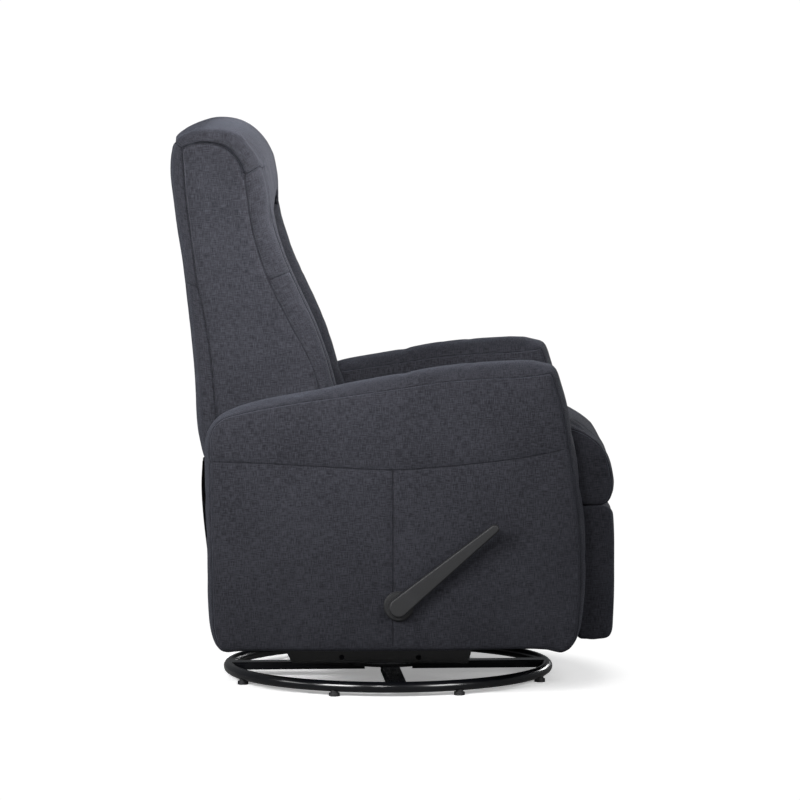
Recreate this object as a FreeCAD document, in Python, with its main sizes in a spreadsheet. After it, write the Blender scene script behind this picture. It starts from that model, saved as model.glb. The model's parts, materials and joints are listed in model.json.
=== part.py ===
"""Swivel glider recliner: ring base, swivel, glide frame, seat, reclining back and footrest.

Millimetres. +Z is up and the sitter faces -Y, so "forward" below means -Y. The sitter's left
is +X and the right, with the release handle, is -X. The origin is on the floor under the
swivel axis. Side outlines are written as (forward, up, corner radius).
"""

import FreeCAD, Part
import Sketcher
import math
import os

V = FreeCAD.Vector
doc = FreeCAD.newDocument("recliner")
sheet = doc.addObject("Spreadsheet::Sheet", "Sizes")

LEFT = 1
RIGHT = -1
SIDES = ((LEFT, "left"), (RIGHT, "right"))

DRIVING_SIZES = (
    # floor base
    ("ring_outer", 610), ("ring_tube", 20), ("foot_height", 8), ("foot_radius", 10),
    ("foot_count", 8), ("foot_saddle", 3), ("foot_neck", 7), ("foot_rim", 6), ("base_turn", 3.5),
    ("spoke_count", 4), ("spoke_width", 33), ("spoke_depth", 14), ("spoke_sheet", 3), ("hub_radius", 80),
    ("hub_disc", 3), ("hub_boss", 30),
    # swivel bearing
    ("race_radius", 60), ("race_width", 24), ("race_height", 4), ("race_gap", 4),
    ("ball_radius", 4), ("ball_count", 20), ("bolt_radius", 8), ("bolt_head", 14),
    ("bolt_head_height", 8),
    # glide frame
    ("steel", 4), ("glide_half", 150), ("glide_centre", -14), ("glide_wheelbase", 260),
    ("glide_pivot_up", 205), ("glide_link", 100), ("glide_link_width", 26),
    ("glide_link_steel", 5), ("glide_pin", 6), ("glide_side_gap", 2), ("glide_foot_rear", 175),
    ("glide_foot_front", 147), ("glide_flare", 11),
    # chassis
    ("overall_width", 720), ("arm_thickness", 114), ("arm_rear", 322), ("arm_front", 351),
    ("arm_base", 89), ("arm_top", 606), ("arm_fall", 86), ("arm_peak", 245),
    ("seat_base", 346), ("seat_front", 406), ("seat_top", 501), ("rail_top", 340),
    ("rail_overlap", 10), ("rail_thickness", 24), ("rail_depth", 78), ("panel_thickness", 18),
    ("panel_rear", 300), ("panel_front", 298), ("cross_rail", 30), ("hanger_shelf", 30),
    ("screw_radius", 4), ("screw_head", 8), ("screw_head_height", 3), ("screw_depth", 26),
    ("spring_wire", 3.6), ("spring_count", 5), ("spring_spacing", 82),
    # footrest linkage
    ("link_steel", 4), ("link_gap", 1), ("link_width", 20), ("link_pin", 5),
    ("main_pivot_forward", 272), ("main_pivot_up", 301), ("main_link", 158),
    ("main_link_tail", 60), ("main_link_angle", -118), ("long_link_angle", 42.5),
    ("long_link_tail", 78), ("bracket_pivot_forward", 330), ("drive_arm", 60),
    ("cross_tube", 9), ("pad_rear", 356), ("pad_front", 405), ("pad_bottom", 102),
    ("board_thickness", 11),
    # release
    ("shaft_forward", 20), ("shaft_up", 173), ("shaft_radius", 8), ("handle_angle", 40),
    ("handle_reach", 222), ("handle_wide", 17.5), ("handle_narrow", 8), ("handle_thick", 14),
    ("handle_stand_off", 14), ("handle_bend", 20), ("escutcheon_radius", 27),
    ("escutcheon_thick", 6),
    # backrest
    ("back_top", 1038), ("back_low", 418), ("back_low_rear", 332), ("back_lean", 54),
    ("back_skin", 25), ("back_frame", 27), ("back_side", 3), ("recline_rear", 240),
    ("recline_up", 352), ("post_width", 26),
    # clearances
    ("pin_clearance", 0.15), ("open_pivot_clearance", 0.3), ("soft_gap", 2),
)


class Size:
    """A length that carries the sheet expression it comes from."""

    def __init__(self, value, text):
        self.value = float(value)
        self.text = text

    def joined(self, other, sign, value):
        other_text = other.text if isinstance(other, Size) else str(float(other))
        return Size(value, "(" + self.text + " " + sign + " " + other_text + ")")

    def __add__(self, other):
        return self.joined(other, "+", self.value + float(other))

    def __sub__(self, other):
        return self.joined(other, "-", self.value - float(other))

    def __mul__(self, other):
        return self.joined(other, "*", self.value * float(other))

    def __truediv__(self, other):
        return self.joined(other, "/", self.value / float(other))

    def __radd__(self, other):
        return self + other

    def __rsub__(self, other):
        return -self + other

    def __neg__(self):
        return self * -1

    def __float__(self):
        return self.value


def fill_sheet():
    for row, (name, value) in enumerate(DRIVING_SIZES, start=1):
        cell = "A" + str(row)
        sheet.set(cell, str(value))
        sheet.setAlias(cell, name)
    doc.recompute()


def size(name):
    return Size(getattr(sheet, name), "Sizes." + name)


fill_sheet()
steel = size("steel")
pin_clearance = size("pin_clearance")


# Sketching

def corner_cut(before, corner, after, radius):
    """Tangent points and middle point of the arc that rounds one corner."""
    into = (before - corner).normalize()
    out = (after - corner).normalize()
    half = math.acos(max(-1.0, min(1.0, into.dot(out)))) / 2
    reach = radius / math.tan(half)
    middle_way = (into + out).normalize()
    centre = corner + middle_way * (radius / math.sin(half))
    return corner + into * reach, centre - middle_way * radius, corner + out * reach


def rounded(points):
    """Closed outline of straight runs and tangent arcs from (x, y, radius) corners."""
    corners = [V(float(x), float(y), 0) for x, y, _ in points]
    starts, edges, ends = [], [], []
    for place, (_, _, radius) in enumerate(points):
        corner = corners[place]
        if radius > 0:
            bend = corner_cut(corners[place - 1], corner, corners[(place + 1) % len(points)], radius)
            edges.append(Part.Arc(*bend))
            starts.append(bend[0])
            ends.append(bend[2])
        else:
            edges.append(None)
            starts.append(corner)
            ends.append(corner)
    outline = []
    for place, arc in enumerate(edges):
        if arc is not None:
            outline.append(arc)
        onward = starts[(place + 1) % len(points)]
        if ends[place].distanceToPoint(onward) > 1e-6:
            outline.append(Part.LineSegment(ends[place], onward))
    return outline


def side_view(points):
    """Side outline corners (forward, up, radius) as sketch corners."""
    return [(-float(forward), float(up), radius) for forward, up, radius in points]


def hull(start, start_radius, end, end_radius):
    """Outline round two circles, as of a link bar, in sketch coordinates."""
    along = end - start
    length = along.Length
    along.normalize()
    across = V(-along.y, along.x, 0)
    lean = math.acos((start_radius - end_radius) / length)
    up_side = along * math.cos(lean) + across * math.sin(lean)
    down_side = along * math.cos(lean) - across * math.sin(lean)
    a_up, a_down = start + up_side * start_radius, start + down_side * start_radius
    b_up, b_down = end + up_side * end_radius, end + down_side * end_radius
    return [
        Part.Arc(a_up, start - along * start_radius, a_down),
        Part.LineSegment(a_down, b_down),
        Part.Arc(b_down, end + along * end_radius, b_up),
        Part.LineSegment(b_up, a_up),
    ]


def new_body(name):
    body = doc.addObject("PartDesign::Body", name)
    body.Label = name
    return body


def new_sketch(body, role, offset, outlines, holes=()):
    """Sketch on one of the body's own origin planes; holes are (x, y, radius)."""
    name = body.Name + "_sketch" + str(len(body.Group))
    drawing = body.newObject("Sketcher::SketchObject", name)
    plane = [item for item in body.Origin.OriginFeatures if item.Role == role][0]
    drawing.AttachmentSupport = [(plane, "")]
    drawing.MapMode = "FlatFace"
    if isinstance(offset, Size):
        drawing.setExpression("AttachmentOffset.Base.z", offset.text)
    else:
        drawing.AttachmentOffset = FreeCAD.Placement(V(0, 0, float(offset)), FreeCAD.Rotation())
    for outline in outlines:
        drawing.addGeometry(outline, False)
    for x, y, radius in holes:
        circle = Part.Circle(V(float(x), float(y), 0), V(0, 0, 1), float(radius))
        index = drawing.addGeometry(circle, False)
        drawing.addConstraint(Sketcher.Constraint("Radius", index, float(radius)))
        if isinstance(radius, Size):
            last = drawing.ConstraintCount - 1
            drawing.setExpression("Constraints[" + str(last) + "]", radius.text)
    return drawing


def add_pad(body, drawing, length, reverse=False):
    pad = body.newObject("PartDesign::Pad", body.Name + "_pad")
    pad.Profile = drawing
    bind(pad, "Length", length)
    pad.Reversed = reverse
    return pad


def add_turning(body, kind, drawing):
    """Revolution or Groove of an upright half section about the swivel axis."""
    turning = body.newObject("PartDesign::" + kind, body.Name + "_" + kind.lower())
    turning.Profile = drawing
    turning.ReferenceAxis = (drawing, ["V_Axis"])
    turning.Angle = 360
    return turning


def add_polar(body, feature, count):
    pattern = body.newObject("PartDesign::PolarPattern", body.Name + "_pattern")
    pattern.Originals = [feature]
    axis = [item for item in body.Origin.OriginFeatures if item.Role == "Z_Axis"][0]
    pattern.Axis = (axis, [""])
    pattern.Angle = 360
    pattern.Occurrences = int(float(count))
    body.Tip = pattern
    return pattern


def bind(thing, name, value):
    if isinstance(value, Size):
        thing.setExpression(name, value.text)
    else:
        setattr(thing, name, value)


def layer(side, inner, thickness):
    """Offset of a plate that lies from inner to inner + thickness on one side."""
    if side == LEFT:
        return inner
    return -(inner + thickness)


def plate(name, side, inner, thickness, outline, holes=()):
    """Flat plate in a side plane; holes are (forward, up, radius)."""
    body = new_body(name)
    round_holes = [(-float(forward), up, radius) for forward, up, radius in holes]
    drawing = new_sketch(body, "YZ_Plane", layer(side, inner, thickness), [outline], round_holes)
    add_pad(body, drawing, thickness)
    return body


def link_bar(name, side, inner, start, end, width, holes):
    """Straight link with round ends centred on start and end, both (forward, up)."""
    ends = [V(-float(forward), float(up), 0) for forward, up in (start, end)]
    outline = hull(ends[0], float(width) / 2, ends[1], float(width) / 2)
    return plate(name, side, inner, size("link_steel"), outline, holes)


def rod_across(name, from_x, to_x, radius, forward, up):
    """Round bar along X from from_x to to_x."""
    bar = doc.addObject("Part::Cylinder", name)
    bar.Placement = FreeCAD.Placement(
        V(float(from_x), -float(forward), float(up)), FreeCAD.Rotation(V(0, 1, 0), 90))
    bind(bar, "Radius", radius)
    length = to_x - from_x
    bind(bar, "Height", length)
    if isinstance(from_x, Size):
        bar.setExpression("Placement.Base.x", from_x.text)
    return bar


def pin(name, side, inner, outer, radius, forward, up):
    """Round bar along X between two distances from the middle plane on one side."""
    if side == LEFT:
        return rod_across(name, inner, outer, radius, forward, up)
    return rod_across(name, -outer, -inner, radius, forward, up)


def join(name, pieces):
    fuse = doc.addObject("Part::MultiFuse", name)
    fuse.Shapes = pieces
    fuse.Label = name
    return fuse


def group(name, pieces):
    compound = doc.addObject("Part::Compound", name)
    compound.Links = pieces
    compound.Label = name
    return compound


def cut(name, base, tools):
    """Base less the tools."""
    tool = tools[0] if len(tools) == 1 else join(name + "_tools", tools)
    result = doc.addObject("Part::Cut", name)
    result.Base = base
    result.Tool = tool
    result.Label = name
    return result


def block(name, x_range, forward_range, up_range):
    """Box between three ranges; any end may be a Size."""
    box = doc.addObject("Part::Box", name)
    box.Label = name
    rear, front = forward_range
    corner = (x_range[0], -front, up_range[0])
    spans = (x_range[1] - x_range[0], front - rear, up_range[1] - up_range[0])
    box.Placement = FreeCAD.Placement(V(*[float(c) for c in corner]), FreeCAD.Rotation())
    for axis, place in zip("xyz", corner):
        if isinstance(place, Size):
            box.setExpression("Placement.Base." + axis, place.text)
    for prop, span in zip(("Length", "Width", "Height"), spans):
        bind(box, prop, span)
    return box


def side_range(side, inner, outer):
    return (inner, outer) if side == LEFT else (-outer, -inner)


# Floor base

ring_centre = size("ring_outer") / 2 - size("ring_tube") / 2
ring_up = size("foot_height") + size("ring_tube") / 2
spoke_top = ring_up + size("ring_tube") / 2 - 1
spoke_bottom = spoke_top - size("spoke_depth")
hub_top = spoke_top + size("hub_disc")
ball_up = hub_top + size("race_height") + size("race_gap") / 2
groove_radius = size("ball_radius") + 0.35
glide_floor = hub_top + size("race_height") * 2 + size("race_gap")
bolt_hole = size("bolt_radius") + pin_clearance


def turned(name, sections, holes=()):
    """Solid of revolution about the swivel axis from (radius, up) sections."""
    body = new_body(name)
    outlines = [rounded([(radius, up, 0) for radius, up in section]) for section in sections]
    add_turning(body, "Revolution", new_sketch(body, "XZ_Plane", 0, outlines, holes))
    return body


def ring_band(inner, outer, low, high):
    return [(inner, low), (outer, low), (outer, high), (inner, high)]


def base_ring():
    body = new_body("base_ring")
    tube = [(ring_centre, ring_up, size("ring_tube") / 2)]
    add_turning(body, "Revolution", new_sketch(body, "XZ_Plane", 0, [], tube))
    return body


def groove_for_ring(body):
    tube = [(ring_centre, ring_up, size("ring_tube") / 2)]
    add_turning(body, "Groove", new_sketch(body, "XZ_Plane", 0, [], tube))


def base_spokes():
    """Cross of pressed channel spokes round a middle disc, open side down."""
    body = new_body("base_spokes")
    half = size("spoke_width") / 2
    wall = size("spoke_sheet")
    disc = new_sketch(body, "XY_Plane", spoke_top - wall, [], [(0, 0, size("hub_radius")), (0, 0, bolt_hole)])
    add_pad(body, disc, wall)
    channel = [
        (-half, spoke_bottom, 0), (-half, spoke_top, 2), (half, spoke_top, 2), (half, spoke_bottom, 0),
        (half - wall, spoke_bottom, 0), (half - wall, spoke_top - wall, 0),
        (wall - half, spoke_top - wall, 0), (wall - half, spoke_bottom, 0),
    ]
    start = size("hub_radius") * 0.55
    drawing = new_sketch(body, "YZ_Plane", start, [rounded(channel)])
    spoke = add_pad(body, drawing, ring_centre - start)
    add_polar(body, spoke, size("spoke_count"))
    groove_for_ring(body)
    body.Placement = turn_base()
    return body


def turn_base():
    return FreeCAD.Placement(V(0, 0, 0), FreeCAD.Rotation(V(0, 0, 1), float(size("base_turn"))))


def foot_pads():
    """Round pads under the ring, each with a narrower neck saddled to the tube."""
    pads = []
    count = int(float(size("foot_count")))
    place_on_ring = V(float(ring_centre), 0, 0)
    tube = Part.makeTorus(float(ring_centre), float(size("ring_tube")) / 2, V(0, 0, float(ring_up)))
    rim = Part.makeCylinder(float(size("foot_radius")), float(size("foot_rim")), place_on_ring)
    neck_up = float(size("foot_height") + size("foot_saddle"))
    neck = Part.makeCylinder(float(size("foot_neck")), neck_up, place_on_ring)
    pad = rim.fuse(neck).removeSplitter().cut(tube)
    for place in range(count):
        copy = pad.copy()
        copy.rotate(V(0, 0, 0), V(0, 0, 1), (place + 0.5) * 360 / count)
        pads.append(copy)
    feature = doc.addObject("Part::Feature", "foot_pads")
    feature.Label = "foot_pads"
    feature.Shape = Part.Compound(pads)
    feature.Placement = turn_base()
    return feature


def base_hub():
    outer = size("hub_radius")
    boss = size("hub_boss")
    boss_top = glide_floor - 0.4
    section = [
        (bolt_hole, spoke_top), (outer, spoke_top), (outer, hub_top),
        (boss, hub_top), (boss, boss_top), (bolt_hole, boss_top),
    ]
    return turned("base_hub", [section])


def race(name, low, groove_up):
    inner = size("race_radius") - size("race_width") / 2
    outer = size("race_radius") + size("race_width") / 2
    body = turned(name, [ring_band(inner, outer, low, low + size("race_height"))])
    ball_path = [(size("race_radius"), groove_up, groove_radius)]
    add_turning(body, "Groove", new_sketch(body, "XZ_Plane", 0, [], ball_path))
    return body


def bearing_balls():
    balls = []
    count = int(float(size("ball_count")))
    drop = 0.3
    for place in range(count):
        angle = 2 * math.pi * place / count
        reach = float(size("race_radius"))
        centre = V(reach * math.cos(angle), reach * math.sin(angle), float(ball_up) - drop)
        balls.append(Part.makeSphere(float(size("ball_radius")), centre))
    feature = doc.addObject("Part::Feature", "bearing_balls")
    feature.Label = "bearing_balls"
    feature.Shape = Part.Compound(balls)
    return feature


# Swivel top and glide links

glide_inner = size("glide_half")
glide_link_inner = glide_inner + steel + size("glide_side_gap")
hanger_inner = glide_link_inner + size("glide_link_steel") + size("glide_side_gap")
glide_pivots = (
    ("rear", size("glide_centre") - size("glide_wheelbase") / 2),
    ("front", size("glide_centre") + size("glide_wheelbase") / 2),
)
glide_low_up = size("glide_pivot_up") - size("glide_link")


def swivel_bolt():
    """Bolt on the swivel axis with its head on the cross plate and a washer below the spokes."""
    shank = size("bolt_radius")
    head = size("bolt_head")
    top = glide_floor + steel
    washer_top = spoke_top - size("spoke_sheet") - 0.3
    washer_low = washer_top - 3
    nut_low = washer_low - 6
    section = [
        (0, nut_low), (head, nut_low), (head, washer_low), (head + 4, washer_low),
        (head + 4, washer_top), (shank, washer_top), (shank, top), (head, top),
        (head, top + size("bolt_head_height")), (0, top + size("bolt_head_height")),
    ]
    return turned("swivel_bolt", [section])


def glide_cross_plate():
    body = new_body("glide_cross_plate")
    front = size("glide_foot_front") - 15
    rear = -(size("glide_foot_rear") - 15)
    outline = rounded([
        (-glide_inner, -front, 0), (glide_inner, -front, 0), (glide_inner, -rear, 0), (-glide_inner, -rear, 0)])
    drawing = new_sketch(body, "XY_Plane", glide_floor, [outline], [(0, 0, bolt_hole - pin_clearance)])
    add_pad(body, drawing, steel)
    return body


def glide_side_plate(side, word):
    """Upright plate that carries two link pivots, flared above its foot."""
    rear = -size("glide_foot_rear")
    front = size("glide_foot_front")
    flare = size("glide_flare")
    knee = glide_floor + 46
    top = size("glide_pivot_up") + 20
    shoulder = size("glide_wheelbase") / 2 + 29
    centre = size("glide_centre")
    outline = rounded(side_view([
        (rear, glide_floor, 3), (front, glide_floor, 3), (front + flare, knee, 30),
        (centre + shoulder, top, 22), (centre - shoulder, top, 22), (rear - flare * 2, knee, 30),
    ]))
    holes = [(forward, size("glide_pivot_up"), size("glide_pin")) for _, forward in glide_pivots]
    holes += [(centre - 70, glide_floor + 11, 5), (centre + 70, glide_floor + 11, 5)]
    return plate("glide_side_plate_" + word, side, glide_inner, steel, outline, holes)


def upper_glide_pins():
    pins = []
    for side, word in SIDES:
        for place, forward in glide_pivots:
            name = "upper_pin_" + place + "_" + word
            outer = glide_link_inner + size("glide_link_steel") + 0.5
            shank = pin(name, side, glide_inner - 4, outer, size("glide_pin"), forward, size("glide_pivot_up"))
            head = pin(name + "_head", side, glide_inner - 4, glide_inner, size("glide_pin") + 4,
                       forward, size("glide_pivot_up"))
            pins.append(join(name + "_whole", [shank, head]))
    return group("upper_glide_pins", pins)


def glide_links(name, forward):
    """Pair of hanging links, one each side."""
    links = []
    half = float(size("glide_link_width")) / 2
    upper = V(-float(forward), float(size("glide_pivot_up")), 0)
    lower = V(-float(forward), float(glide_low_up), 0)
    hole = size("glide_pin") + pin_clearance
    holes = [(forward, size("glide_pivot_up"), hole), (forward, glide_low_up, hole)]
    for side, word in SIDES:
        outline = hull(upper, half, lower, half)
        links.append(plate(
            name + "_" + word, side, glide_link_inner, size("glide_link_steel"), outline, holes))
    return group(name, links)


# Chassis: lateral layers from the middle outwards

inside = size("overall_width") / 2 - size("arm_thickness")
panel_inner = inside + size("rail_overlap")
rail_inner = panel_inner - size("rail_thickness")
plate_inner = rail_inner - steel
link_inner = plate_inner - size("link_gap") - size("link_steel")
long_link_inner = link_inner - size("link_gap") - size("link_steel")
crank_inner = long_link_inner - steel
rod_inner = crank_inner - size("link_gap") * 2 - size("link_steel")
rail_low = size("rail_top") - size("rail_depth")
middle_rail_forward = 160
rear_rail_rear = -215
front_rail_front = size("bracket_pivot_forward") + 5
rear_stretcher_front = -298


def hanger_plate(side, word):
    """Angle iron that hangs the chassis on the lower glide pivots."""
    name = "hanger_plate_" + word
    low = glide_low_up - 14
    centre = size("glide_centre")
    foot = size("glide_wheelbase") / 2 + 21
    knee = rail_low - 27
    front = middle_rail_forward + size("cross_rail")
    outline = rounded(side_view([
        (rear_rail_rear, rail_low, 0), (rear_rail_rear, knee, 8), (centre - foot, low, 14),
        (centre + foot, low, 14), (front, knee, 8), (front, rail_low, 0),
    ]))
    holes = [(forward, glide_low_up, size("glide_pin")) for _, forward in glide_pivots]
    web = plate(name + "_web", side, hanger_inner, steel, outline, holes)
    flange = block(name + "_flange", side_range(side, hanger_inner + steel, hanger_inner + size("hanger_shelf")),
                   (rear_rail_rear, front), (rail_low - steel, rail_low))
    bores = [
        screw_bore(name + "_hole_" + place, side, forward, rail_low - 6, rail_low + 2)
        for place, forward in screw_places]
    return cut(name, join(name + "_angle", [web, flange]), bores)


screw_places = (
    ("rear", rear_rail_rear + size("cross_rail") / 2), ("middle", middle_rail_forward + size("cross_rail") / 2))
screw_lateral = hanger_inner + steel / 2 + size("hanger_shelf") / 2


def screw_bore(name, side, forward, low, high):
    return rod_upright(name, side, screw_lateral, forward, low, high, size("screw_radius"))


def rod_upright(name, side, lateral, forward, low, high, radius):
    bar = doc.addObject("Part::Cylinder", name)
    bind(bar, "Radius", radius)
    bind(bar, "Height", high - low)
    bar.Placement = FreeCAD.Placement(V(side * float(lateral), -float(forward), float(low)), FreeCAD.Rotation())
    bar.setExpression("Placement.Base.x", (lateral * side).text)
    bar.setExpression("Placement.Base.z", low.text)
    return bar


def hanger_screws():
    """Screws up through the hanger flanges into the cross rails."""
    screws = []
    head_top = rail_low - steel
    head_low = head_top - size("screw_head_height")
    for side, word in SIDES:
        for place, forward in screw_places:
            name = "hanger_screw_" + place + "_" + word
            shank = rod_upright(name + "_shank", side, screw_lateral, forward, head_low,
                                rail_low + size("screw_depth"), size("screw_radius"))
            head = rod_upright(name + "_head", side, screw_lateral, forward, head_low, head_top,
                               size("screw_head"))
            screws.append(join(name, [shank, head]))
    return group("hanger_screws", screws)


def lower_glide_pins():
    pins = []
    outer_face = hanger_inner + steel
    head_outer = outer_face + 4
    for side, word in SIDES:
        for place, forward in glide_pivots:
            name = "lower_pin_" + place + "_" + word
            shank = pin(name, side, glide_link_inner - 0.5, head_outer, size("glide_pin"), forward, glide_low_up)
            head = pin(name + "_head", side, outer_face, head_outer, size("glide_pin") + 4, forward, glide_low_up)
            pins.append(join(name + "_whole", [shank, head]))
    return group("lower_glide_pins", pins)


def drilled_rail(name, rear, top, forward):
    """Cross rail with the bores for the two hanger screws."""
    rail = block(name + "_blank", (-plate_inner, plate_inner), (rear, rear + size("cross_rail")), (rail_low, top))
    bores = [
        screw_bore(name + "_bore_" + word, side, forward, rail_low - 1, rail_low + size("screw_depth"))
        for side, word in SIDES]
    return cut(name, rail, bores)


def cross_rails():
    (_, rear_screw), (_, middle_screw) = screw_places
    front = block("front_cross_rail", (-plate_inner, plate_inner),
                  (front_rail_front - size("cross_rail"), front_rail_front),
                  (size("rail_top") - 37, size("rail_top")))
    return [
        drilled_rail("rear_cross_rail", rear_rail_rear, size("rail_top"), rear_screw),
        drilled_rail("middle_cross_rail", middle_rail_forward, rail_low + 38, middle_screw),
        front,
    ]


def rear_stretcher():
    return block("rear_stretcher", (-panel_inner, panel_inner),
                 (-(size("arm_rear") - 2), rear_stretcher_front), (240, 300))


def seat_rail(side, word):
    """Wooden side rail between the arm panel and the footrest mechanism."""
    return block("seat_rail_" + word, side_range(side, rail_inner, panel_inner),
                 (rear_stretcher_front, front_rail_front - 17), (rail_low, size("rail_top")))


def arm_panel(side, word):
    """Plywood panel inside the padded arm."""
    name = "arm_panel_" + word
    width = side_range(side, panel_inner, panel_inner + size("panel_thickness"))
    length = (-size("panel_rear"), size("panel_front"))
    if side == LEFT:
        return block(name, width, length, (size("arm_base") + 6, arm_panel_top))
    panel = block(name + "_blank", width, length, (size("arm_base") + 6, arm_panel_top))
    return cut(name, panel, [shaft_bore(name + "_bore")])


arm_panel_top = size("arm_top") - 138


def shaft_bore(name):
    return pin(name, RIGHT, crank_inner - 20, size("overall_width") / 2 + 20, size("shaft_radius") + 0.6,
               size("shaft_forward"), size("shaft_up"))


def crest_up(forward):
    """Height of the arm's crest: level at the front, falling towards the back."""
    run = max(0.0, float(size("arm_peak")) - forward) / 523
    return float(size("arm_top")) - float(size("arm_fall")) * run ** 1.6


def arm_sections(body, side):
    """Cross sections of the arm along its length, each crowned between its two seams."""
    outer = float(size("overall_width")) / 2
    inner = float(inside)
    crest = outer - 57
    base = float(size("arm_base")) - 1
    drawings = []
    stations = (-330, -240, -150, -60, 40, 140, 245, 360)
    for forward in stations:
        top = crest_up(forward)
        share = (forward - stations[0]) / (stations[-1] - stations[0])
        seam = top - 9 - 16 * share
        outline = [
            Part.LineSegment(V(side * inner, base, 0), V(side * outer, base, 0)),
            Part.LineSegment(V(side * outer, base, 0), V(side * outer, seam, 0)),
            Part.Arc(V(side * outer, seam, 0), V(side * crest, top, 0), V(side * inner, seam, 0)),
            Part.LineSegment(V(side * inner, seam, 0), V(side * inner, base, 0)),
        ]
        drawings.append(new_sketch(body, "XZ_Plane", forward, [outline]))
    loft = body.newObject("PartDesign::AdditiveLoft", body.Name + "_loft")
    loft.Profile = drawings[0]
    loft.Sections = drawings[1:]
    return loft


def arm_outline():
    """Side outline of the arm; its top lies above the crest and is trimmed by the sections."""
    rear = -size("arm_rear")
    front = size("arm_front")
    base = size("arm_base")
    top = size("arm_top")
    above = top + 60
    return rounded(side_view([
        (rear + 22, base, 14), (rear + 3, base + 40, 60), (rear, base + 230, 900), (rear, top - 126, 25),
        (rear + 46, top - 68, 0), (rear + 46, above, 0), (front - 66, above, 0), (front - 66, top - 5, 0),
        (front - 50, top - 13, 14), (front - 27, top - 90, 120), (front - 13, base + 330, 900),
        (front, base + 130, 500), (front - 6, base + 42, 60), (front - 36, base, 24),
    ]))


def padded_arm(side, word):
    name = "padded_arm_" + word
    crowned = new_body(name + "_crown")
    arm_sections(crowned, side)
    outlined = plate(name + "_outline", side, inside, size("arm_thickness"), arm_outline())
    whole = doc.addObject("Part::Common", name + "_whole")
    whole.Base = outlined
    whole.Tool = crowned
    slot = block(name + "_slot", side_range(side, panel_inner, panel_inner + size("panel_thickness")),
                 (-size("panel_rear"), size("panel_front")), (size("arm_base") - 5, arm_panel_top))
    below = block(name + "_below", side_range(side, inside - 1, panel_inner),
                  (-335, 330), (size("arm_base") - 5, size("rail_top")))
    tools = [slot, below]
    if side == RIGHT:
        tools.append(shaft_bore(name + "_bore"))
    return cut(name, whole, tools)


def handle_escutcheon():
    face = size("overall_width") / 2
    disc = pin("escutcheon_disc", RIGHT, face, face + size("escutcheon_thick"), size("escutcheon_radius"),
               size("shaft_forward"), size("shaft_up"))
    rim = doc.addObject("Part::Chamfer", "escutcheon_rim")
    doc.recompute()
    rim.Base = disc
    outer_edges = [
        place for place, edge in enumerate(disc.Shape.Edges, start=1)
        if edge.Closed and edge.BoundBox.XMax < -float(face) - 1]
    rim.Edges = [(place, 2.5, 2.5) for place in outer_edges]
    return cut("handle_escutcheon", rim, [shaft_bore("escutcheon_bore")])


# Footrest linkage: two parallelograms that turn the board by the angle the main link turns

def step_from(start, length, angle):
    """Point at a length and an angle from a (forward, up) point."""
    turn = math.radians(float(angle))
    return (float(start[0]) + float(length) * math.cos(turn), float(start[1]) + float(length) * math.sin(turn))


main_angle = size("main_link_angle")
long_angle = size("long_link_angle")
main_pivot = (size("main_pivot_forward"), size("main_pivot_up"))
main_joint = step_from(main_pivot, size("main_link"), main_angle)
main_end = step_from(main_joint, size("main_link_tail"), main_angle)
long_rear = step_from(main_joint, -size("long_link_tail"), long_angle)
swing_pivot = step_from(main_pivot, -size("long_link_tail"), long_angle)
long_reach = (float(size("bracket_pivot_forward")) - main_joint[0]) / math.cos(math.radians(float(long_angle)))
long_front = step_from(main_joint, long_reach, long_angle)
guide_front = step_from(long_front, size("main_link_tail"), main_angle)
tube_place = step_from(main_pivot, size("drive_arm"), main_angle)
shaft_place = (size("shaft_forward"), size("shaft_up"))
crank_place = step_from(shaft_place, size("drive_arm"), main_angle)

link_hole = size("link_pin") + pin_clearance
open_hole = size("link_pin") + size("open_pivot_clearance")
link_width = size("link_width")


def link_pair(name, inner, start, end, holes):
    return group(name, [
        link_bar(name + "_" + word, side, inner, start, end, link_width, holes) for side, word in SIDES])


def main_links():
    holes = [
        (*main_pivot, link_hole), (*main_joint, size("link_pin")), (*main_end, size("link_pin")),
        (*tube_place, size("link_pin")),
    ]
    return link_pair("main_links", link_inner, main_pivot, main_end, holes)


def swing_links():
    holes = [(*swing_pivot, link_hole), (*long_rear, open_hole)]
    return link_pair("swing_links", link_inner, swing_pivot, long_rear, holes)


def long_links():
    holes = [(*long_rear, size("link_pin")), (*main_joint, link_hole), (*long_front, link_hole)]
    return link_pair("long_links", long_link_inner, long_rear, long_front, holes)


def guide_links():
    holes = [(*main_end, link_hole), (*guide_front, open_hole)]
    return link_pair("guide_links", long_link_inner, main_end, guide_front, holes)


def headed_pins(name, places, inner, outer, head_inner, head_outer, radius):
    """Pins of one body on both sides at the given (forward, up) places."""
    pins = []
    for side, word in SIDES:
        for number, (forward, up) in enumerate(places, start=1):
            label = name + "_" + word + str(number)
            shank = pin(label, side, inner, outer, radius, forward, up)
            head = pin(label + "_head", side, head_inner, head_outer, radius + 3, forward, up)
            pins.append(join(label + "_whole", [shank, head]))
    return pins


def main_link_pins():
    link_outer = link_inner + size("link_steel")
    head = long_link_inner - 3
    return group("main_link_pins", headed_pins(
        "main_link_pin", (main_joint, main_end), head, link_outer, head, long_link_inner - 0.5,
        size("link_pin")))


def long_link_pins():
    link_outer = link_inner + size("link_steel")
    head = long_link_inner - 3
    return group("long_link_pins", headed_pins(
        "long_link_pin", (long_rear,), head, link_outer, head, long_link_inner, size("link_pin")))


def footrest_pins():
    """Pins of the footrest brackets through the long and guide links."""
    link_outer = link_inner + size("link_steel")
    head = long_link_inner - 3
    return group("footrest_pins", headed_pins(
        "footrest_pin", (long_front, guide_front), head, link_outer, head, long_link_inner - 0.5,
        size("link_pin")))


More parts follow.
